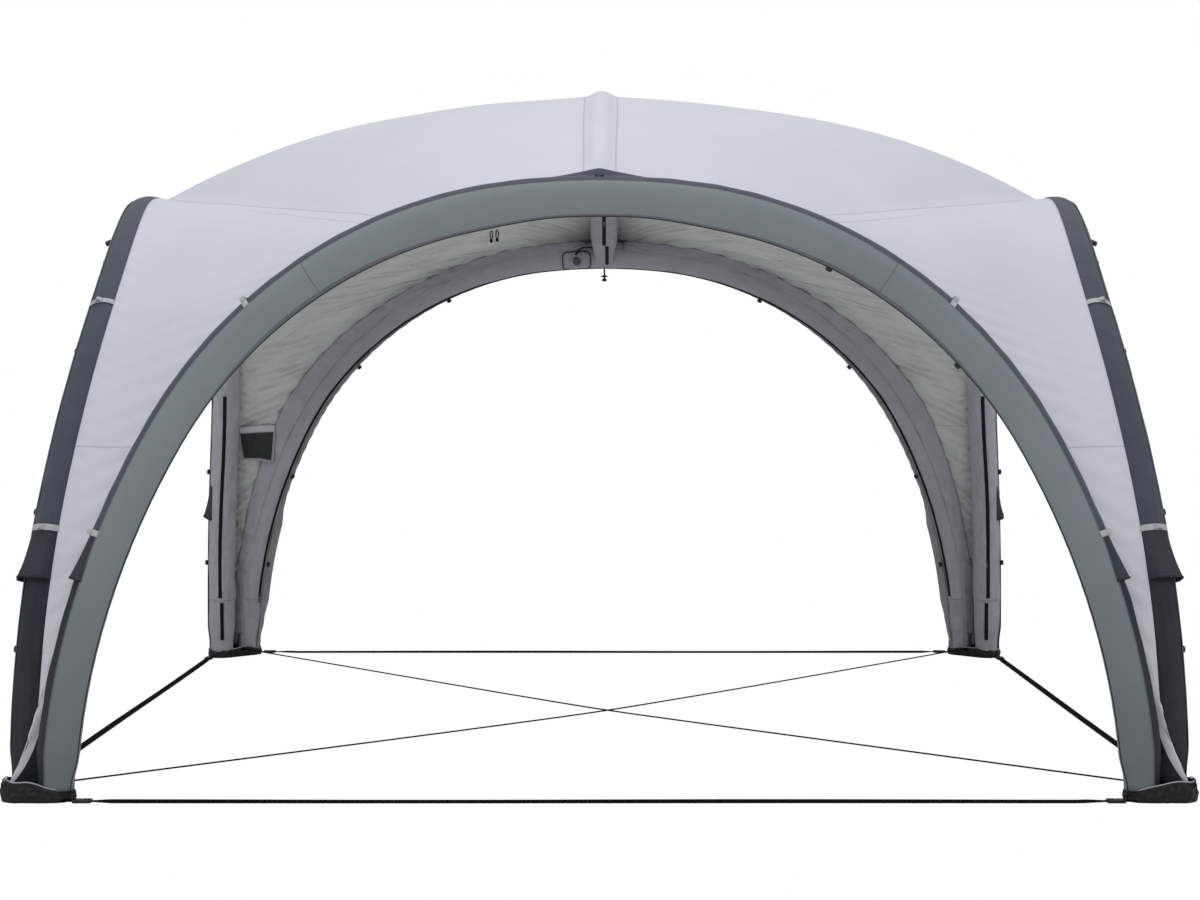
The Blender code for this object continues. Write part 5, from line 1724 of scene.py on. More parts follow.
@dataclass(frozen=True)
class Gussets:
    """The sleeve cloth that runs on from a gable's tube to the canopy's inside."""

    tube_angle: float = math.radians(72.0)
    heights: tuple[float, ...] = (0.10, 0.54, 0.81, 1.09, 1.40, 1.65, 1.85)
    reaches: tuple[float, ...] = (0.018, 0.022, 0.042, 0.070, 0.055, 0.024, 0.012)
    columns: int = 10
    low: float = 0.10

    def build(self, canopy: Canopy) -> None:
        """Build and dress the two gussets, in two halves each.

        Args:
            canopy: The canopy that they are sewn to.
        """
        points, _ = canopy.quarter()
        turns, spans = canopy.rows()
        lengths = np.concatenate([canopy.gable_lengths(turns),
                                  [GABLE.length_at(across=float(span)) for span in spans[1:]]])
        points = points[:len(lengths)]
        beam = GABLE.beam(lengths)
        keep = (beam.centres[:, 2] > self.low) & (np.abs(beam.centres[:, 0]) > 0.066)
        across = run_length(points, 1)
        reaches = np.interp(beam.centres[:, 2], self.heights, self.reaches)
        edge = np.stack([resample(reach, across[row], points[row])
                         for row, reach in enumerate(reaches)])
        inner = beam.skin(self.tube_angle, 0.0006)[:, 0]
        share = np.linspace(0.0, 1.0, self.columns)[None, :, None]
        web = (1.0 - share) * inner[:, None] + share * edge[:, None]
        inward = unit(np.cross(edge - inner, np.gradient(inner, axis=0)))
        inward *= np.sign((inward * (np.array([0.0, 0.0, 0.7]) - inner)).sum(1, keepdims=True))
        pleat = gathers(lengths, 21, 0.075)[:, None, None] * np.sin(math.pi * share)
        web = web + inward[:, None] * (0.0024 * pleat + 0.0065 * share)
        web = web[keep]
        for side in (Side.FRONT, Side.BACK):
            sy = 1.0 if side is Side.FRONT else -1.0
            grids = [Grid(web * np.array([sx, sy, 1.0])) for sx in (1.0, -1.0)]
            add_piece(f"gusset_{side.word}", grids, (TUBE_INSIDE,), wall=THIN_CLOTH)


# ---------------------------------------------------------- cuffs and bands


@dataclass(frozen=True)
class Cuffs:
    """The flared navy cuffs that end the outer strips above the lower sleeves."""

    top: float = 0.800
    bottom: float = 0.648
    flare: float = 0.018
    gable_start: float = math.radians(-64.0)
    flank_start: float = math.radians(-135.0)
    stop: float = math.radians(31.0)
    rows: int = 40
    columns: int = 56

    def build(self) -> None:
        """Build and dress the eight cuffs."""
        for side in Side:
            line = arch_of(side)
            for end, word in ((0, "left"), (1, "right")):
                self._cuff(side, line, end, word)

    def _cuff(self, side: Side, line: ArchLine, end: int, word: str) -> None:
        """Build one cuff: the skin lifted by flare times a power of the way down.

        Args:
            side: The arch's side.
            line: The arch's line.
            end: 0 for the left leg and 1 for the right one.
            word: The leg's name.
        """
        foot = np.linspace(line.length_at(height=self.top), line.length_at(height=self.bottom),
                           self.rows)
        lengths = foot if end == 0 else 2.0 * line.half - foot
        order = np.argsort(lengths)
        beam = line.beam(lengths[order]).turned(side.value)
        down = np.linspace(0.0, 1.0, self.rows)[order][:, None]
        start = self.gable_start if side.gabled else self.flank_start
        angles = np.linspace(start, self.stop, self.columns)
        across = (angles - start) / (self.stop - start)
        open_share = np.sin(math.pi * across) ** 0.7
        waves = 1.0 + 0.16 * np.sin(7.0 * angles + side.value * 2.0 + end)
        flare = self.flare if side.gabled else 1.5 * self.flare
        lift = 0.0010 + flare * (down ** 1.8) * open_share[None] * waves[None]
        lift = lift + 0.0010 * np.sin(19.0 * angles)[None] * down * open_share[None]
        points = beam.skin(angles, lift)
        bottom = points[np.argmax(down[:, 0])]
        seam = np.abs((1.0 - down) * (foot.max() - foot.min()) - 0.014)
        grid = Grid(points, marks={"seam": np.broadcast_to(seam, points.shape[:2])})
        add_piece(f"cuff_{side.word}_{word}", [grid], (NAVY_CUFF,),
                  wall=Wall(0.0016, 1.0))
        hem = swept(bottom, UP, slab(0.0034, 0.0060))
        add_piece(f"cuff_hem_{side.word}_{word}", [hem], (NAVY_LOW,))


@dataclass(frozen=True)
class Bands:
    """The webbing bands over the navy strips, each with a folded loop."""

    gable_heights: tuple[float, float] = (1.483, 0.787)
    flank_heights: tuple[float, float] = (1.500, 0.799)
    width: float = 0.020
    loop_reach: float = 0.011

    def build(self) -> None:
        """Build and dress the sixteen bands with their loops."""
        for side in Side:
            line = arch_of(side)
            heights = self.gable_heights if side.gabled else self.flank_heights
            for level, height in zip(("upper", "lower"), heights):
                foot = line.length_at(height=height)
                for word, length in (("left", foot), ("right", 2.0 * line.half - foot)):
                    self._band(f"{side.word}_{word}_{level}", side, line, length)

    def _band(self, name: str, side: Side, line: ArchLine, length: float) -> None:
        """Build one band: a ribbon round the strip and a loop that stands off it.

        Args:
            name: The end of the piece's name.
            side: The arch's side.
            line: The arch's line.
            length: Where it is, from the left foot.
        """
        beam = line.beam(length + np.array([-0.5, 0.0, 0.5]) * self.width).turned(side.value)
        first = float(Fascias().edge_angle(beam.shares[1]))
        angles = np.linspace(first - 0.06, math.radians(34.0), 40)
        path = beam.skin(angles, 0.0034)[1]
        normals = (np.sin(angles)[:, None] * beam.inward[1]
                   + np.cos(angles)[:, None] * beam.crownward[1])
        band = swept(path, normals, slab(self.width, 0.0018))
        middle = 0.5 * (first + math.radians(20.0))
        out = math.sin(middle) * beam.inward[1] + math.cos(middle) * beam.crownward[1]
        tangent = math.cos(middle) * beam.inward[1] - math.sin(middle) * beam.crownward[1]
        base = beam.skin(np.array([middle]), 0.0040)[1, 0]
        turn = np.linspace(-1.0, 1.0, 25)
        spread = 0.011 * signed_power(turn, 0.8)
        rise = self.loop_reach * (1.0 - np.abs(turn) ** 1.3)
        loop_path = base + spread[:, None] * tangent + rise[:, None] * out
        narrow = 1.0 - 0.35 * (rise / self.loop_reach)
        profile = slab(self.width, 0.0016)[None] * np.stack([narrow, np.ones(25)], axis=-1)[:, None]
        along = beam.centres[2] - beam.centres[0]
        side_way = unit(np.gradient(loop_path, axis=0))
        loop = swept(loop_path, np.cross(unit(along)[None], side_way), profile)
        add_piece(f"band_{name}", [band, loop], (BAND,))


# ---------------------------------------------------------------------- boots


BOOT_RADIUS = 0.0575
STRAP_LINE = FOOT_OFFSET + 0.044
TAB_END = SPAN_HALF - BOOT_RADIUS - 0.008
WEB_WIDTH = 0.025
DIAGONAL = (SPAN_HALF + FOOT_OFFSET) / math.sqrt(2.0)
CORD_SHORT = 0.0726
CORNER_POINTS = ((-SPAN_HALF, -FOOT_OFFSET), (-FOOT_OFFSET, -SPAN_HALF), (-FOOT_OFFSET, -FOOT_OFFSET))


@dataclass(frozen=True)
class Boots:
    """The soft boots that join the feet of two arches at each corner."""

    height: float = 0.060
    fall: float = 0.026
    outline_points: int = 220
    wall_rows: int = 22

    def build(self) -> None:
        """Build and dress the four boots."""
        for number, corner in enumerate(("front_left", "front_right", "back_right", "back_left")):
            self._boot(number, corner)

    def outline(self, reach: float) -> tuple[Array, Array]:
        """Walk round the three feet's circles: arcs at the corners, straight lines between.

        Args:
            reach: The circles' radius.

        Returns:
            Points (x, y) spaced evenly, and the directions out of them.
        """
        centres = np.array(CORNER_POINTS)
        middle = centres.mean(axis=0)
        angle = np.arctan2(*(centres - middle).T[::-1])
        centres = centres[np.argsort(angle)]
        dense, outs = [], []
        for index in range(3):
            before = centres[index] - centres[index - 1]
            after = centres[(index + 1) % 3] - centres[index]
            start = math.atan2(before[1], before[0]) - math.pi / 2.0
            turn = (math.atan2(after[1], after[0]) - math.atan2(before[1], before[0])) % (2 * math.pi)
            angles = start + turn * np.linspace(0.0, 1.0, 40)
            out = np.stack([np.cos(angles), np.sin(angles)], axis=-1)
            dense.append(centres[index] + reach * out)
            outs.append(out)
        points = np.concatenate([*dense, dense[0][:1]])
        out = np.concatenate([*outs, outs[0][:1]])
        length = run_length(points)
        at = np.linspace(0.0, length[-1], self.outline_points, endpoint=False)
        return resample(at, length, points), unit(resample(at, length, out))

    def _boot(self, number: int, corner: str) -> None:
        """Build one boot: its outline lifted to a wavy edge, crumpled by ripples.

        Args:
            number: Quarter turns from the front left corner.
            corner: The corner's name.
        """
        outline, out = self.outline(BOOT_RADIUS + 0.002)
        around = np.linspace(0.0, 1.0, self.outline_points, endpoint=False)
        girth = 2.0 * math.pi * around
        wave = 0.005 * np.sin(3.0 * girth + number) + 0.0035 * np.sin(7.0 * girth + 2.1 * number)
        for tip in (0.08, 0.42, 0.74):
            wave = wave + 0.008 * hill((around - tip + 0.5) % 1.0 - 0.5, 0.0, 0.018)
        corner_gap = np.linalg.norm(outline - np.array(CORNER_POINTS[2]), axis=-1)
        top = self.height - self.fall * smooth_step((corner_gap - 0.065) / 0.10) + 0.55 * wave
        up = np.linspace(0.0, 1.0, self.wall_rows)[:, None]
        height = 0.0012 + up * top[None]
        crumple = 0.0022 * ripple(girth[None] * 0.11, height, 80 + number, 0.030)
        crumple = crumple + 0.0014 * ripple(girth[None] * 0.11, height, 90 + number, 0.014)
        crumple = crumple * np.sin(math.pi * np.clip(up, 0.06, 0.97)) ** 0.5
        reach = 0.003 * np.sin(math.pi * up) - 0.004 * up ** 2 + crumple
        wall = outline[None] + reach[..., None] * out[None]
        outer = np.concatenate([wall, height[..., None]], axis=-1)
        fold = np.linspace(0.0, 1.0, 6)[:, None]
        inside = outer[-1][None].repeat(6, axis=0)
        inside[..., :2] -= (0.0030 + 0.0035 * fold)[..., None] * out[None]
        inside[..., 2] -= 0.016 * fold
        floor = np.concatenate([outline - 0.004 * out, np.full((len(out), 1), 0.0008)], axis=1)
        centre = floor.mean(axis=0)
        shrink = np.linspace(0.02, 1.0, 5)[:, None, None]
        sole = centre + (floor[None] - centre) * shrink
        points = np.concatenate([sole, outer, inside])
        grid = Grid(points @ quarter_turn(number), wrap=True)
        edge = swept((outer[-1] + 0.001 * UP) @ quarter_turn(number), UP, circle(0.0021), closed=True)
        boot = add_piece(f"boot_cloth_{corner}", [grid], (BOOT_BLACK,))
        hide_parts(f"boot_{corner}")
        add_piece(f"boot_piping_{corner}", [edge], (PIPING_GREY,))
        self._loops(number, corner)

    def _loops(self, number: int, corner: str) -> None:
        """Add the webbing tabs to the straps and the cord loop on the corner.

        Args:
            number: Quarter turns from the front left corner.
            corner: The corner's name.
        """
        grids = []
        end, line = -TAB_END, -STRAP_LINE
        path = np.array([(end - 0.070, line + 0.010, 0.004), (end - 0.035, line + 0.002, 0.0055),
                         (end - 0.012, line, 0.006), (end, line, 0.006)])
        turn = quarter_turn(number)
        for points in (path, path[:, [1, 0, 2]]):
            grids.append(swept(points @ turn, UP, slab(WEB_WIDTH, 0.0024)))
        bend = np.linspace(-0.5, 0.5, 25) * 1.5 * math.pi
        out = -FOOT_OFFSET - 0.0415 - 0.010 * np.cos(bend) + 0.006
        ring = np.stack([out, out, 0.060 + 0.017 * np.sin(bend)], axis=-1)
        across = unit(np.array([-1.0 if number % 2 else 1.0, -1.0, 0.0]))
        grids.append(swept(ring @ turn, across, circle(0.0016)))
        tab = np.array([(reach / math.sqrt(2.0), reach / math.sqrt(2.0), height) for reach, height
                        in ((0.050 - DIAGONAL, 0.034), (0.0756 - DIAGONAL, 0.0375))])
        grids.append(swept(tab @ turn, UP, slab(0.014, 0.008)))
        add_piece(f"boot_tabs_{corner}", grids, (STRAP_BLACK,))


# ------------------------------------------------------------ straps and cords


@dataclass(frozen=True)
class Straps:
    """The ground straps from buckle to buckle along the four sides."""

    width: float = WEB_WIDTH
    thickness: float = 0.0018
    gap: float = 0.0003
    socket_length: float = 0.024
    plug_length: float = 0.031
    tuck: float = 0.002
    roll: float = math.radians(15.0)
    rise_ends: tuple[float, ...] = (0.0, 0.05, 0.09, 0.14, 0.19)
    rise_shares: tuple[float, ...] = (1.0, 1.0, 0.7, 0.2, 0.0)
    rise_height: float = 0.0041
    stations: int = 240

    def build(self) -> None:
        """Build and dress the four straps."""
        end = TAB_END - self.gap - self.socket_length - self.plug_length + self.tuck
        for side in Side:
            x = np.linspace(-end, end, self.stations)
            left = end - np.abs(x)
            rise = np.interp(left, self.rise_ends, self.rise_shares)
            ground = self.thickness / 2.0 + self.gap
            slack = 0.0012 * np.abs(np.sin(x * 4.1 + side.value)) * (1.0 - rise)
            sway = 0.0014 * np.sin(x * 2.3 + 1.3 * side.value) * (1.0 - rise)
            path = np.stack([x, -STRAP_LINE + sway, ground + self.rise_height * rise + slack],
                            axis=-1)
            roll = self.roll * smooth_step(left / 0.07) * (1.0 + 0.12 * np.sin(x * 3.1))
            roll = roll if side is Side.FRONT else -roll
            path[:, 2] = np.maximum(path[:, 2], ground + np.abs(np.sin(roll)) * self.width / 2.0)
            up = np.stack([np.zeros_like(x), -np.sin(roll), np.cos(roll)], axis=-1)
            profile = slab(self.width, self.thickness, 0.45)
            turn = quarter_turn(side.value)
            grid = swept(path @ turn, up @ turn, profile)
            strap = add_piece(f"ground_strap_{side.word}", [grid], (STRAP_BLACK,))
            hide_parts(f"strap_{side.word}")


CORD_UNDER = ((-1.0, 0.000, 0.0375), (-0.95, 0.000, 0.0345), (-0.45, 0.0015, 0.0150),
              (-0.20, 0.001, 0.0070), (0.0, 0.000, 0.0032), (0.20, -0.001, 0.0070),
              (0.45, -0.0015, 0.0150), (0.95, 0.000, 0.0345), (1.0, 0.000, 0.0375))
CORD_OVER = ((-1.0, 0.000, 0.0375), (-0.95, 0.000, 0.0350), (-0.45, -0.0015, 0.0200),
             (-0.20, -0.001, 0.0128), (0.0, 0.000, 0.0092), (0.20, 0.001, 0.0128),
             (0.45, 0.0015, 0.0200), (0.95, 0.000, 0.0350), (1.0, 0.000, 0.0375))


@dataclass(frozen=True)
class Cords:
    """The two ground cords along the diagonals."""

    diameter: float = 0.0055
    reach: float = DIAGONAL - CORD_SHORT
    points: int = 160

    def build(self) -> None:
        """Build and dress the two cords."""
        self._cord("cord_under", "ground_cord_under", CORD_UNDER, math.radians(45.0))
        self._cord("cord_over", "ground_cord_over", CORD_OVER, math.radians(135.0))

    def route(self, knots: Sequence[tuple[float, float, float]], turn: float) -> Array:
        """Draw a smooth line through a cord's knots (Catmull-Rom).

        Args:
            knots: Share of the reach, distance sideways and height of each knot.
            turn: The diagonal's angle.

        Returns:
            Evenly spaced points.
        """
        knots = np.array(knots) * np.array([self.reach, 1.0, 1.0])
        x = knots[:, 0] * math.cos(turn) - knots[:, 1] * math.sin(turn)
        y = knots[:, 0] * math.sin(turn) + knots[:, 1] * math.cos(turn)
        points = np.stack([x, y, knots[:, 2]], axis=-1)
        padded = np.concatenate([2.0 * points[:1] - points[1:2], points,
                                 2.0 * points[-1:] - points[-2:-1]])
        t = np.linspace(0.0, 1.0, 24, endpoint=False)[None, :, None]
        p0, p1, p2, p3 = (padded[shift:shift + len(points) - 1][:, None] for shift in range(4))
        dense = 0.5 * (2.0 * p1 + (p2 - p0) * t + (2.0 * p0 - 5.0 * p1 + 4.0 * p2 - p3) * t ** 2
                       + (3.0 * p1 - p0 - 3.0 * p2 + p3) * t ** 3)
        dense = np.concatenate([dense.reshape(-1, 3), points[-1:]])
        length = run_length(dense)
        at = np.linspace(0.0, length[-1], self.points)
        return resample(at, length, dense)

    def _cord(self, node: str, name: str, knots: Sequence[tuple[float, float, float]],
              turn: float) -> None:
        """Build one cord as a curve.

        Args:
            node: The CAD node that it stands for.
            name: The piece's name.
            knots: Its knots.
            turn: The diagonal's angle.
        """
        points = self.route(knots, turn)
        curve = bpy.data.curves.new(name, "CURVE")
        curve.dimensions = "3D"
        spline = curve.splines.new("POLY")
        spline.points.add(len(points) - 1)
        spline.points.foreach_set("co", np.column_stack([points, np.ones(len(points))]).reshape(-1))
        curve.bevel_depth = self.diameter / 2.0
        curve.bevel_resolution = 4
        curve.use_fill_caps = True
        curve.materials.append(CORD_BLACK.material())
        cord = place_object(name, curve)
        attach(cord, "tent")
        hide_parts(node)


# --------------------------------------------------------------------- pocket


@dataclass(frozen=True)
class MeshPocket:
    """The mesh pocket sewn inside the back left corner of the canopy."""

    low: tuple[tuple[float, float], ...] = ((0.908, 0.07), (0.850, 0.73))
    high: tuple[tuple[float, float], ...] = ((1.015, 0.19), (0.927, 0.88))
    stand: float = 0.0030
    depth: float = 0.014
    rows: int = 30
    columns: int = 34

    def build(self, canopy: Canopy) -> None:
        """Build and dress the pocket, its border and its flap.

        Args:
            canopy: The canopy that carries it.
        """
        points, inside = self._sheet(canopy)
        pocket = add_piece("pocket_net", [Grid(points)], (MESH,), wall=THIN_CLOTH)
        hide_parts("mesh_pocket")
        rim, ways = (np.concatenate([grid[0, :-1], grid[:-1, -1], grid[-1, :0:-1], grid[:0:-1, 0]])
                     for grid in (points, inside))
        border = swept(rim, ways, slab(0.011, 0.0028), closed=True)
        top, ways = points[-1], inside[-1]
        rise = unit((top - points[-2]))
        steps = np.linspace(0.0, 0.030, 6)[:, None, None]
        flap = top[None] + rise[None] * steps + 0.0025 * ways[None]
        add_piece("pocket_border", [border], (PIPING_GREY,))
        add_piece("pocket_flap", [Grid(flap)], (CANOPY,), wall=Wall(0.0014))

    def _sheet(self, canopy: Canopy) -> tuple[Array, Array]:
        """Hang the net off the canopy: stand + depth sin(pi j) sin(pi/2 i) + rise to the tube.

        Args:
            canopy: The canopy that carries it.

        Returns:
            The net's points, and the directions into the tent there.
        """
        turns = np.linspace(0.0, 2.0, 801)
        heights = canopy.edges(turns)[0][:, 2]
        up = np.linspace(0.0, 1.0, self.rows)[:, None]
        across = np.linspace(0.0, 1.0, self.columns)[None, :]
        near = (1.0 - up)[..., None] * np.array(self.low[0]) + up[..., None] * np.array(self.high[0])
        far = (1.0 - up)[..., None] * np.array(self.low[1]) + up[..., None] * np.array(self.high[1])
        spot = near + (far - near) * across[..., None]
        turn = np.interp(spot[..., 0], heights, turns)

        def at(turn_at: Array, share_at: Array) -> Array:
            """Give points on the straight lines from arch to arch.

            Args:
                turn_at: 0 at the hem, 1 at the cuff and 2 at the seam.
                share_at: 0 at the gable's arch and 1 at the side's one.

            Returns:
                Points in the same arrangement.
            """
            front, left = canopy.edges(turn_at.reshape(-1))
            share = share_at.reshape(-1, 1)
            return ((1.0 - share) * front + share * left).reshape(*turn_at.shape, 3)

        share = spot[..., 1]
        rise = at(turn + 0.01, share) - at(turn - 0.01, share)
        over = at(turn, share + 0.01) - at(turn, share - 0.01)
        inside = unit(np.cross(over, rise))
        point = at(turn, share)
        outwards = (inside[..., :2] * point[..., :2]).sum(axis=-1) > 0.0
        inside = np.where(outwards[..., None], -inside, inside)
        bow = np.sin(math.pi * across) * np.sin(math.pi / 2.0 * np.minimum(1.0, up / 0.75))
        sag = 0.0010 * ripple(across * 0.12, up * 0.12, 33, 0.045) * bow
        over_tube = 0.030 * (1.0 - across) ** 1.5 * (1.0 - up) + 0.010 * (1.0 - across) ** 3
        points = point + inside * (self.stand + over_tube + self.depth * bow + sag)[..., None]
        mirror = np.array([1.0, -1.0, 1.0])
        return points * mirror, inside * mirror


# ----------------------------------------------------------- zips and toggles


@dataclass(frozen=True)
class Zips:
    """The short black zips up the insides of the side beams and along the ridge's underside.

    The spans give an angle and two heights, the ridge's ones a name, two angles
    along its arc and the distance to the right of its middle.
    """

    width: float = 0.016
    teeth: float = 0.0055
    spans: tuple[tuple[float, float, float], ...] = (
        (math.radians(178.0), 0.285, 1.235), (math.radians(170.0), 0.085, 0.262))
    ridge_spans: tuple[tuple[str, float, float, float], ...] = (
        ("front", -0.500, 0.462, 0.0), ("back", 0.465, 0.5085, 0.0125))

    def build(self) -> None:
        """Build and dress the zips, each a tape with its teeth."""
        places = product((Side.RIGHT, Side.LEFT), (0, 1), self.spans)
        for number, (side, leg, (angle, low, high)) in enumerate(places):
            line = arch_of(side)
            foot = np.linspace(line.length_at(height=low), line.length_at(height=high), 90)
            lengths = foot if leg == 0 else (2.0 * line.half - foot)[::-1]
            beam = line.beam(lengths).turned(side.value)
            out = beam.normals(angle + 0.03 * np.sin(foot * 7.0 + number))
            path = beam.centres + out * (beam.radii + 0.0010)[:, None]
            self._zip(f"zip_{side.word}_{number:02d}", path, out)
        beam = ridge_beam(400)
        for name, first, last, shift in self.ridge_spans:
            at = np.linspace(first, last, 220) * RIDGE_RADIUS
            up = resample(at, beam.lengths, beam.crownward)
            radii = np.interp(at, beam.lengths, beam.radii)
            drop = np.sqrt(radii ** 2 - shift ** 2) + 0.0016
            path = (resample(at, beam.lengths, beam.centres) - up * drop[:, None]
                    + np.array([shift, 0.0, 0.0]))
            self._zip(f"zip_ridge_{name}", path, -up)

    def _zip(self, name: str, path: Array, out: Array) -> None:
        """Add one zip.

        Args:
            name: The piece's name.
            path: The tape's middle line.
            out: The directions out of the beam there.
        """
        tape = swept(path, out, slab(self.width, 0.0016))
        teeth = swept(path + 0.0009 * out, out, slab(self.teeth, 0.0024, 0.45))
        add_piece(name, [tape, teeth], (BLACK_TAPE,))


@dataclass(frozen=True)
class Toggles:
    """The small black toggles along the fascias' long zips."""

    size: tuple[float, float, float] = (0.021, 0.017, 0.014)
    heights: tuple[float, ...] = (0.44, 0.86, 1.38, 1.70)

    def build(self, fascias: Fascias) -> None:
        """Build and dress the toggles of each side.

        Args:
            fascias: The fascias whose zips carry them.
        """
        for side in Side:
            line = arch_of(side)
            foot = [line.length_at(height=height) for height in self.heights]
            left = [] if side is Side.FRONT else foot
            right = foot[2:] if side is Side.FRONT else foot
            lengths = np.array([*left, *(2.0 * line.half - length for length in right)])
            beam = line.beam(lengths).turned(side.value)
            angles = fascias.zip_angle(side, beam.shares)
            reach = beam.radii + 0.003
            if side.gabled:
                angles = np.radians(np.where(beam.centres[:, 2] < 1.0, 155.0, 178.0))
                reach = fascias.panel_reach(side, beam, angles[:, None])[:, 0] + 0.0010
            if side is Side.FRONT:
                hem_in, hem_up = fascias.hem(side, beam)
                angles = np.arctan2(hem_in + 0.008, hem_up)
                reach = np.hypot(hem_in + 0.008, hem_up) - 0.002
            out = beam.normals(angles)
            along = np.cross(beam.crownward, beam.inward)
            share = np.linspace(-1.0, 1.0, 7)
            profile = slab(self.size[1], self.size[2])[None] * (1.0 - 0.35 * share ** 4)[:, None, None]
            grids = []
            for index, spot in enumerate(beam.centres):
                base = spot + out[index] * reach[index]
                half = self.size[0] / 2.0 * along[index]
                path = base + share[:, None] * half + 0.006 * out[index]
                grids.append(swept(path, out[index], profile))
            if not side.gabled:
                grids += self._tabs(side, line)
            add_piece(f"toggles_{side.word}", grids, (PLASTIC,))

    @staticmethod
    def _tabs(side: Side, line: ArchLine) -> list[Grid]:
        """Sew a short webbing tab on a side cover, at each end of its crown.

        Args:
            side: The side.
            line: Its arch's line.

        Returns:
            The tabs.
        """
        foot = line.length_at(across=0.72)
        beam = line.beam(np.array([foot, 2.0 * line.half - foot])).turned(side.value)
        out = beam.normals(math.radians(-90.0))
        along = np.cross(beam.crownward, beam.inward)
        tabs = []
        for index in range(2):
            reach = np.linspace(-0.004, 0.024, 6)[:, None]
            path = beam.centres[index] + out[index] * (beam.radii[index] + reach)
            path = path - beam.crownward[index] * 0.4 * np.maximum(reach, 0.0)
            tabs.append(swept(path, along[index], slab(0.014, 0.020, 0.1)))
        return tabs


@dataclass(frozen=True)
class ValveBay:
    """The framed bay round the valve on the back beam, with the strap to the ridge."""

    near: float = 0.066
    far: float = 0.195
    middle_angle: float = math.radians(120.0)
    half_height: float = 0.047

    def on_beam(self, across: Array, down: Array, lift: Array | float) -> tuple[Array, Array]:
        """Place spots on the back beam's skin.

        Args:
            across: Distances from the beam's middle, towards the left side.
            down: Distances round the beam from the bay's middle.
            lift: Distances above the skin.

        Returns:
            The points, and the directions out of the skin.
        """
        spans = np.linspace(0.0, 0.3, 31)
        ends = [2.0 * GABLE.half - GABLE.length_at(across=float(span)) for span in spans]
        beam = GABLE.beam(np.interp(across, spans, ends)).turned(Side.BACK.value)
        angles = self.middle_angle + down / BEAM_RADIUS
        lift = np.broadcast_to(lift, np.shape(across))
        return beam.skin(angles[:, None], lift[:, None])[:, 0], beam.normals(angles)

    def build(self) -> None:
        """Build and dress the bay's cloth, its piping and the strap."""
        centre, half = 0.5 * (self.near + self.far), 0.5 * (self.far - self.near)
        turn = np.linspace(0.0, 2.0 * math.pi, 120, endpoint=False)
        x = half * signed_power(np.cos(turn), 0.4)
        y = self.half_height * signed_power(np.sin(turn), 0.4)
        rings = np.linspace(0.04, 1.0, 14)[:, None]
        lift = 0.0022 + 0.0016 * gathers((x * rings).reshape(-1), 31, 0.013)
        points, _ = self.on_beam(centre + (x * rings).reshape(-1), (y * rings).reshape(-1), lift)
        cloth = Grid(points.reshape(14, 120, 3), wrap=True)
        add_piece("valve_bay_cloth", [cloth], (TUBE_INSIDE,), wall=Wall(0.0010))
        path, out = self.on_beam(centre + x, y, 0.0034)
        add_piece("valve_bay_piping", [swept(path, out, slab(0.005, 0.0036), closed=True)],
                  (PIPING_BLACK,))
        start, out = self.on_beam(np.array([0.130]), np.array([-0.0347]), 0.004)
        ridge = ridge_beam(400)
        row = int(np.argmin(np.abs(ridge.centres[:, 1] - 1.560)))
        end = ridge.skin(math.radians(-62.0), 0.003)[row, 0]
        high = 0.5 * (start[0] + end) + np.array([-0.018, -0.035, 0.040])
        t = np.linspace(0.0, 1.0, 40)[:, None]
        path = (1.0 - t) ** 2 * start[0] + 2.0 * t * (1.0 - t) * high + t ** 2 * end
        up = np.array([0.0, -0.5, 0.87])
        add_piece("valve_strap", [swept(path, up, slab(0.018, 0.007))], (BLACK_TAPE,))
        add_piece("valve_strap_lining", [swept(path + 0.0046 * up, up, slab(0.011, 0.0024))],
                  (BAND,))


# -------------------------------------------------------------- CAD finishes


HARD_FINISHES = (("buckle_", PLASTIC), ("crown_clip_", PLASTIC), ("lantern_toggle", PLASTIC),
                 ("tie_loop_", CORD_BLACK), ("valve_", VALVE_GREY), ("zip_slider_", METAL))


def dress_hard_pieces(nodes: Mapping[str, bpy.types.Object]) -> None:
    """Give the CAD pieces that keep their shape better finishes.

    Args:
        nodes: The CAD nodes by name.
    """
    for (name, node), (start, finish) in product(nodes.items(), HARD_FINISHES):
        if name.startswith(start):
            for slot in node.material_slots:
                slot.material = finish.material()


# ---------------------------------------------------------------------- stage


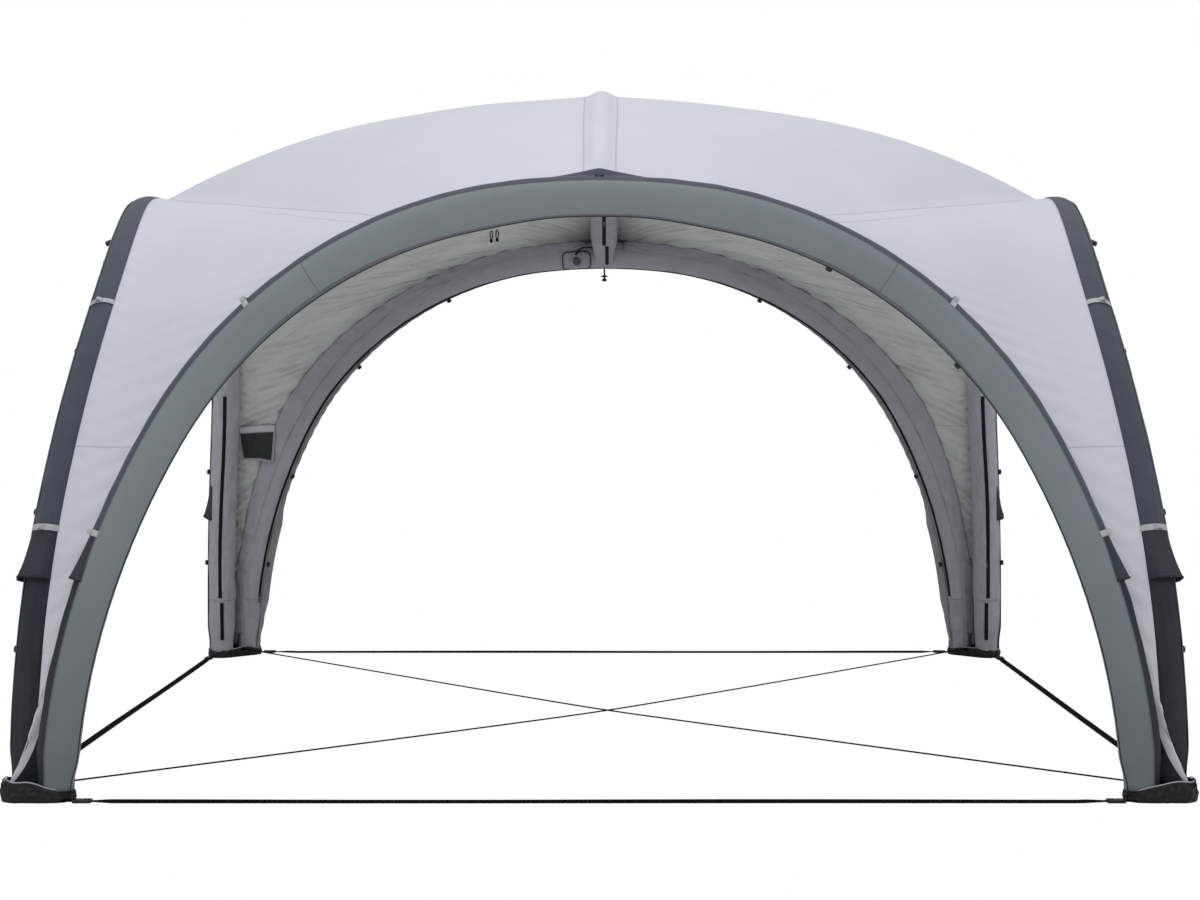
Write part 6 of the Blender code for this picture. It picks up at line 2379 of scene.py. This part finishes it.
@dataclass(frozen=True)
class Stage:
    """The floor, the light and the camera."""

    floor_half: float = 60.0
    ambient: float = 0.50
    camera_place: tuple[float, float, float] = (0.047, -8.447, 1.2903)
    lamps: tuple[tuple[str, tuple[float, float, float], float], ...] = (
        ("key", (-4.5, -7.5, 7.5), 230.0), ("fill", (6.5, -5.0, 5.5), 100.0),
        ("top", (0.0, 0.0, 9.0), 200.0))
    lamp_size: float = 5.0
    aim_height: float = 1.0
    lens: float = 65.81
    shift: tuple[float, float] = (-0.01217, -0.06108)

    def build_camera(self) -> None:
        """Stand the camera where the photograph was taken from, looking along +Y."""
        data = bpy.data.cameras.new("camera")
        data.lens = self.lens
        data.sensor_width = 36.0
        data.shift_x, data.shift_y = self.shift
        data.clip_end = 200.0
        camera = place_object("camera", data)
        camera.location = self.camera_place
        camera.rotation_euler = (math.radians(90.0), 0.0, 0.0)
        bpy.context.scene.camera = camera

    def build(self) -> None:
        """Build the floor, the world and the lamps."""
        scene = bpy.context.scene
        scene.view_settings.view_transform = "Standard"
        self._floor()
        self._world()
        for name, place, power in self.lamps:
            self._lamp(name, place, power)

    def _floor(self) -> None:
        """Lay a white floor that the camera sees as plain white."""
        half = self.floor_half
        corners = [(-half, -half, 0.0), (half, -half, 0.0), (half, half, 0.0), (-half, half, 0.0)]
        mesh = bpy.data.meshes.new("floor")
        mesh.from_pydata(corners, [], [(0, 1, 2, 3)])
        material = bpy.data.materials.new("floor_white")
        material.use_nodes = True
        graph = Graph(material.node_tree)
        surface = graph.tree.nodes["Principled BSDF"]
        graph.fill(surface, {"Base Color": (0.8, 0.8, 0.8, 1.0), "Roughness": 0.9})
        glow = graph.add("ShaderNodeEmission", {"Color": WHITE, "Strength": 1.0})
        self._show_white(graph, surface.outputs["BSDF"], glow.outputs["Emission"], "Material Output")
        mesh.materials.append(material)
        place_object("floor", mesh)

    def _world(self) -> None:
        """Light the room evenly, and show white behind the tent."""
        world = bpy.data.worlds.new("studio")
        world.use_nodes = True
        graph = Graph(world.node_tree)
        light = graph.tree.nodes["Background"]
        graph.fill(light, {"Color": WHITE, "Strength": self.ambient})
        white = graph.add("ShaderNodeBackground", {"Color": WHITE})
        self._show_white(graph, light.outputs["Background"], white.outputs["Background"],
                         "World Output")
        bpy.context.scene.world = world

    @staticmethod
    def _show_white(graph: Graph, lit: bpy.types.NodeSocket, white: bpy.types.NodeSocket,
                    output: str) -> None:
        """Show the camera plain white, and all other rays the lit surface.

        Args:
            graph: The nodes of the floor's material or of the world.
            lit: What the other rays meet.
            white: What the camera sees.
            output: The name of the output node.
        """
        path = graph.add("ShaderNodeLightPath")
        mix = graph.add("ShaderNodeMixShader", {
            "Fac": path.outputs["Is Camera Ray"], 1: lit, 2: white})
        graph.fill(graph.tree.nodes[output], {"Surface": mix.outputs["Shader"]})

    def _lamp(self, name: str, place: tuple[float, float, float], power: float) -> None:
        """Hang a soft square lamp that looks at the tent.

        Args:
            name: The lamp's name.
            place: Where it hangs.
            power: Its power in watts.
        """
        data = bpy.data.lights.new(name, "AREA")
        data.size = self.lamp_size
        data.energy = power
        lamp = place_object(name, data)
        lamp.location = place
        x, y, z = place[0], place[1], place[2] - self.aim_height
        lamp.rotation_euler = (math.atan2(math.hypot(x, y), z), 0.0, math.atan2(y, x) + math.pi / 2.0)


# ----------------------------------------------------------------------- main


def main() -> None:
    """Build the scene, sub-assembly by sub-assembly."""
    logging.basicConfig(level=logging.INFO, format="%(name)s: %(message)s")
    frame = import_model()
    stage = Stage()
    canopy = Canopy()
    fascias = Fascias()
    steps: list[tuple[str, Callable[[], None]]] = [
        ("camera", stage.build_camera),
        ("ground cords", Cords().build),
        ("air beams", AirBeams().build),
        ("ridge beam", RidgeBeam().build),
        ("fascias", fascias.build),
        ("canopy", canopy.build),
        ("gussets", lambda: Gussets().build(canopy)),
        ("cuffs", Cuffs().build),
        ("bands", Bands().build),
        ("boots", Boots().build),
        ("straps", Straps().build),
        ("mesh pocket", lambda: MeshPocket().build(canopy)),
        ("zips", Zips().build),
        ("toggles", lambda: Toggles().build(fascias)),
        ("valve bay", ValveBay().build),
        ("hard pieces", lambda: dress_hard_pieces(frame["nodes"])),
        ("stage", stage.build),
    ]
    for name, step in steps:
        LOG.info("building %s", name)
        step()


if __name__ == "__main__":
    main()
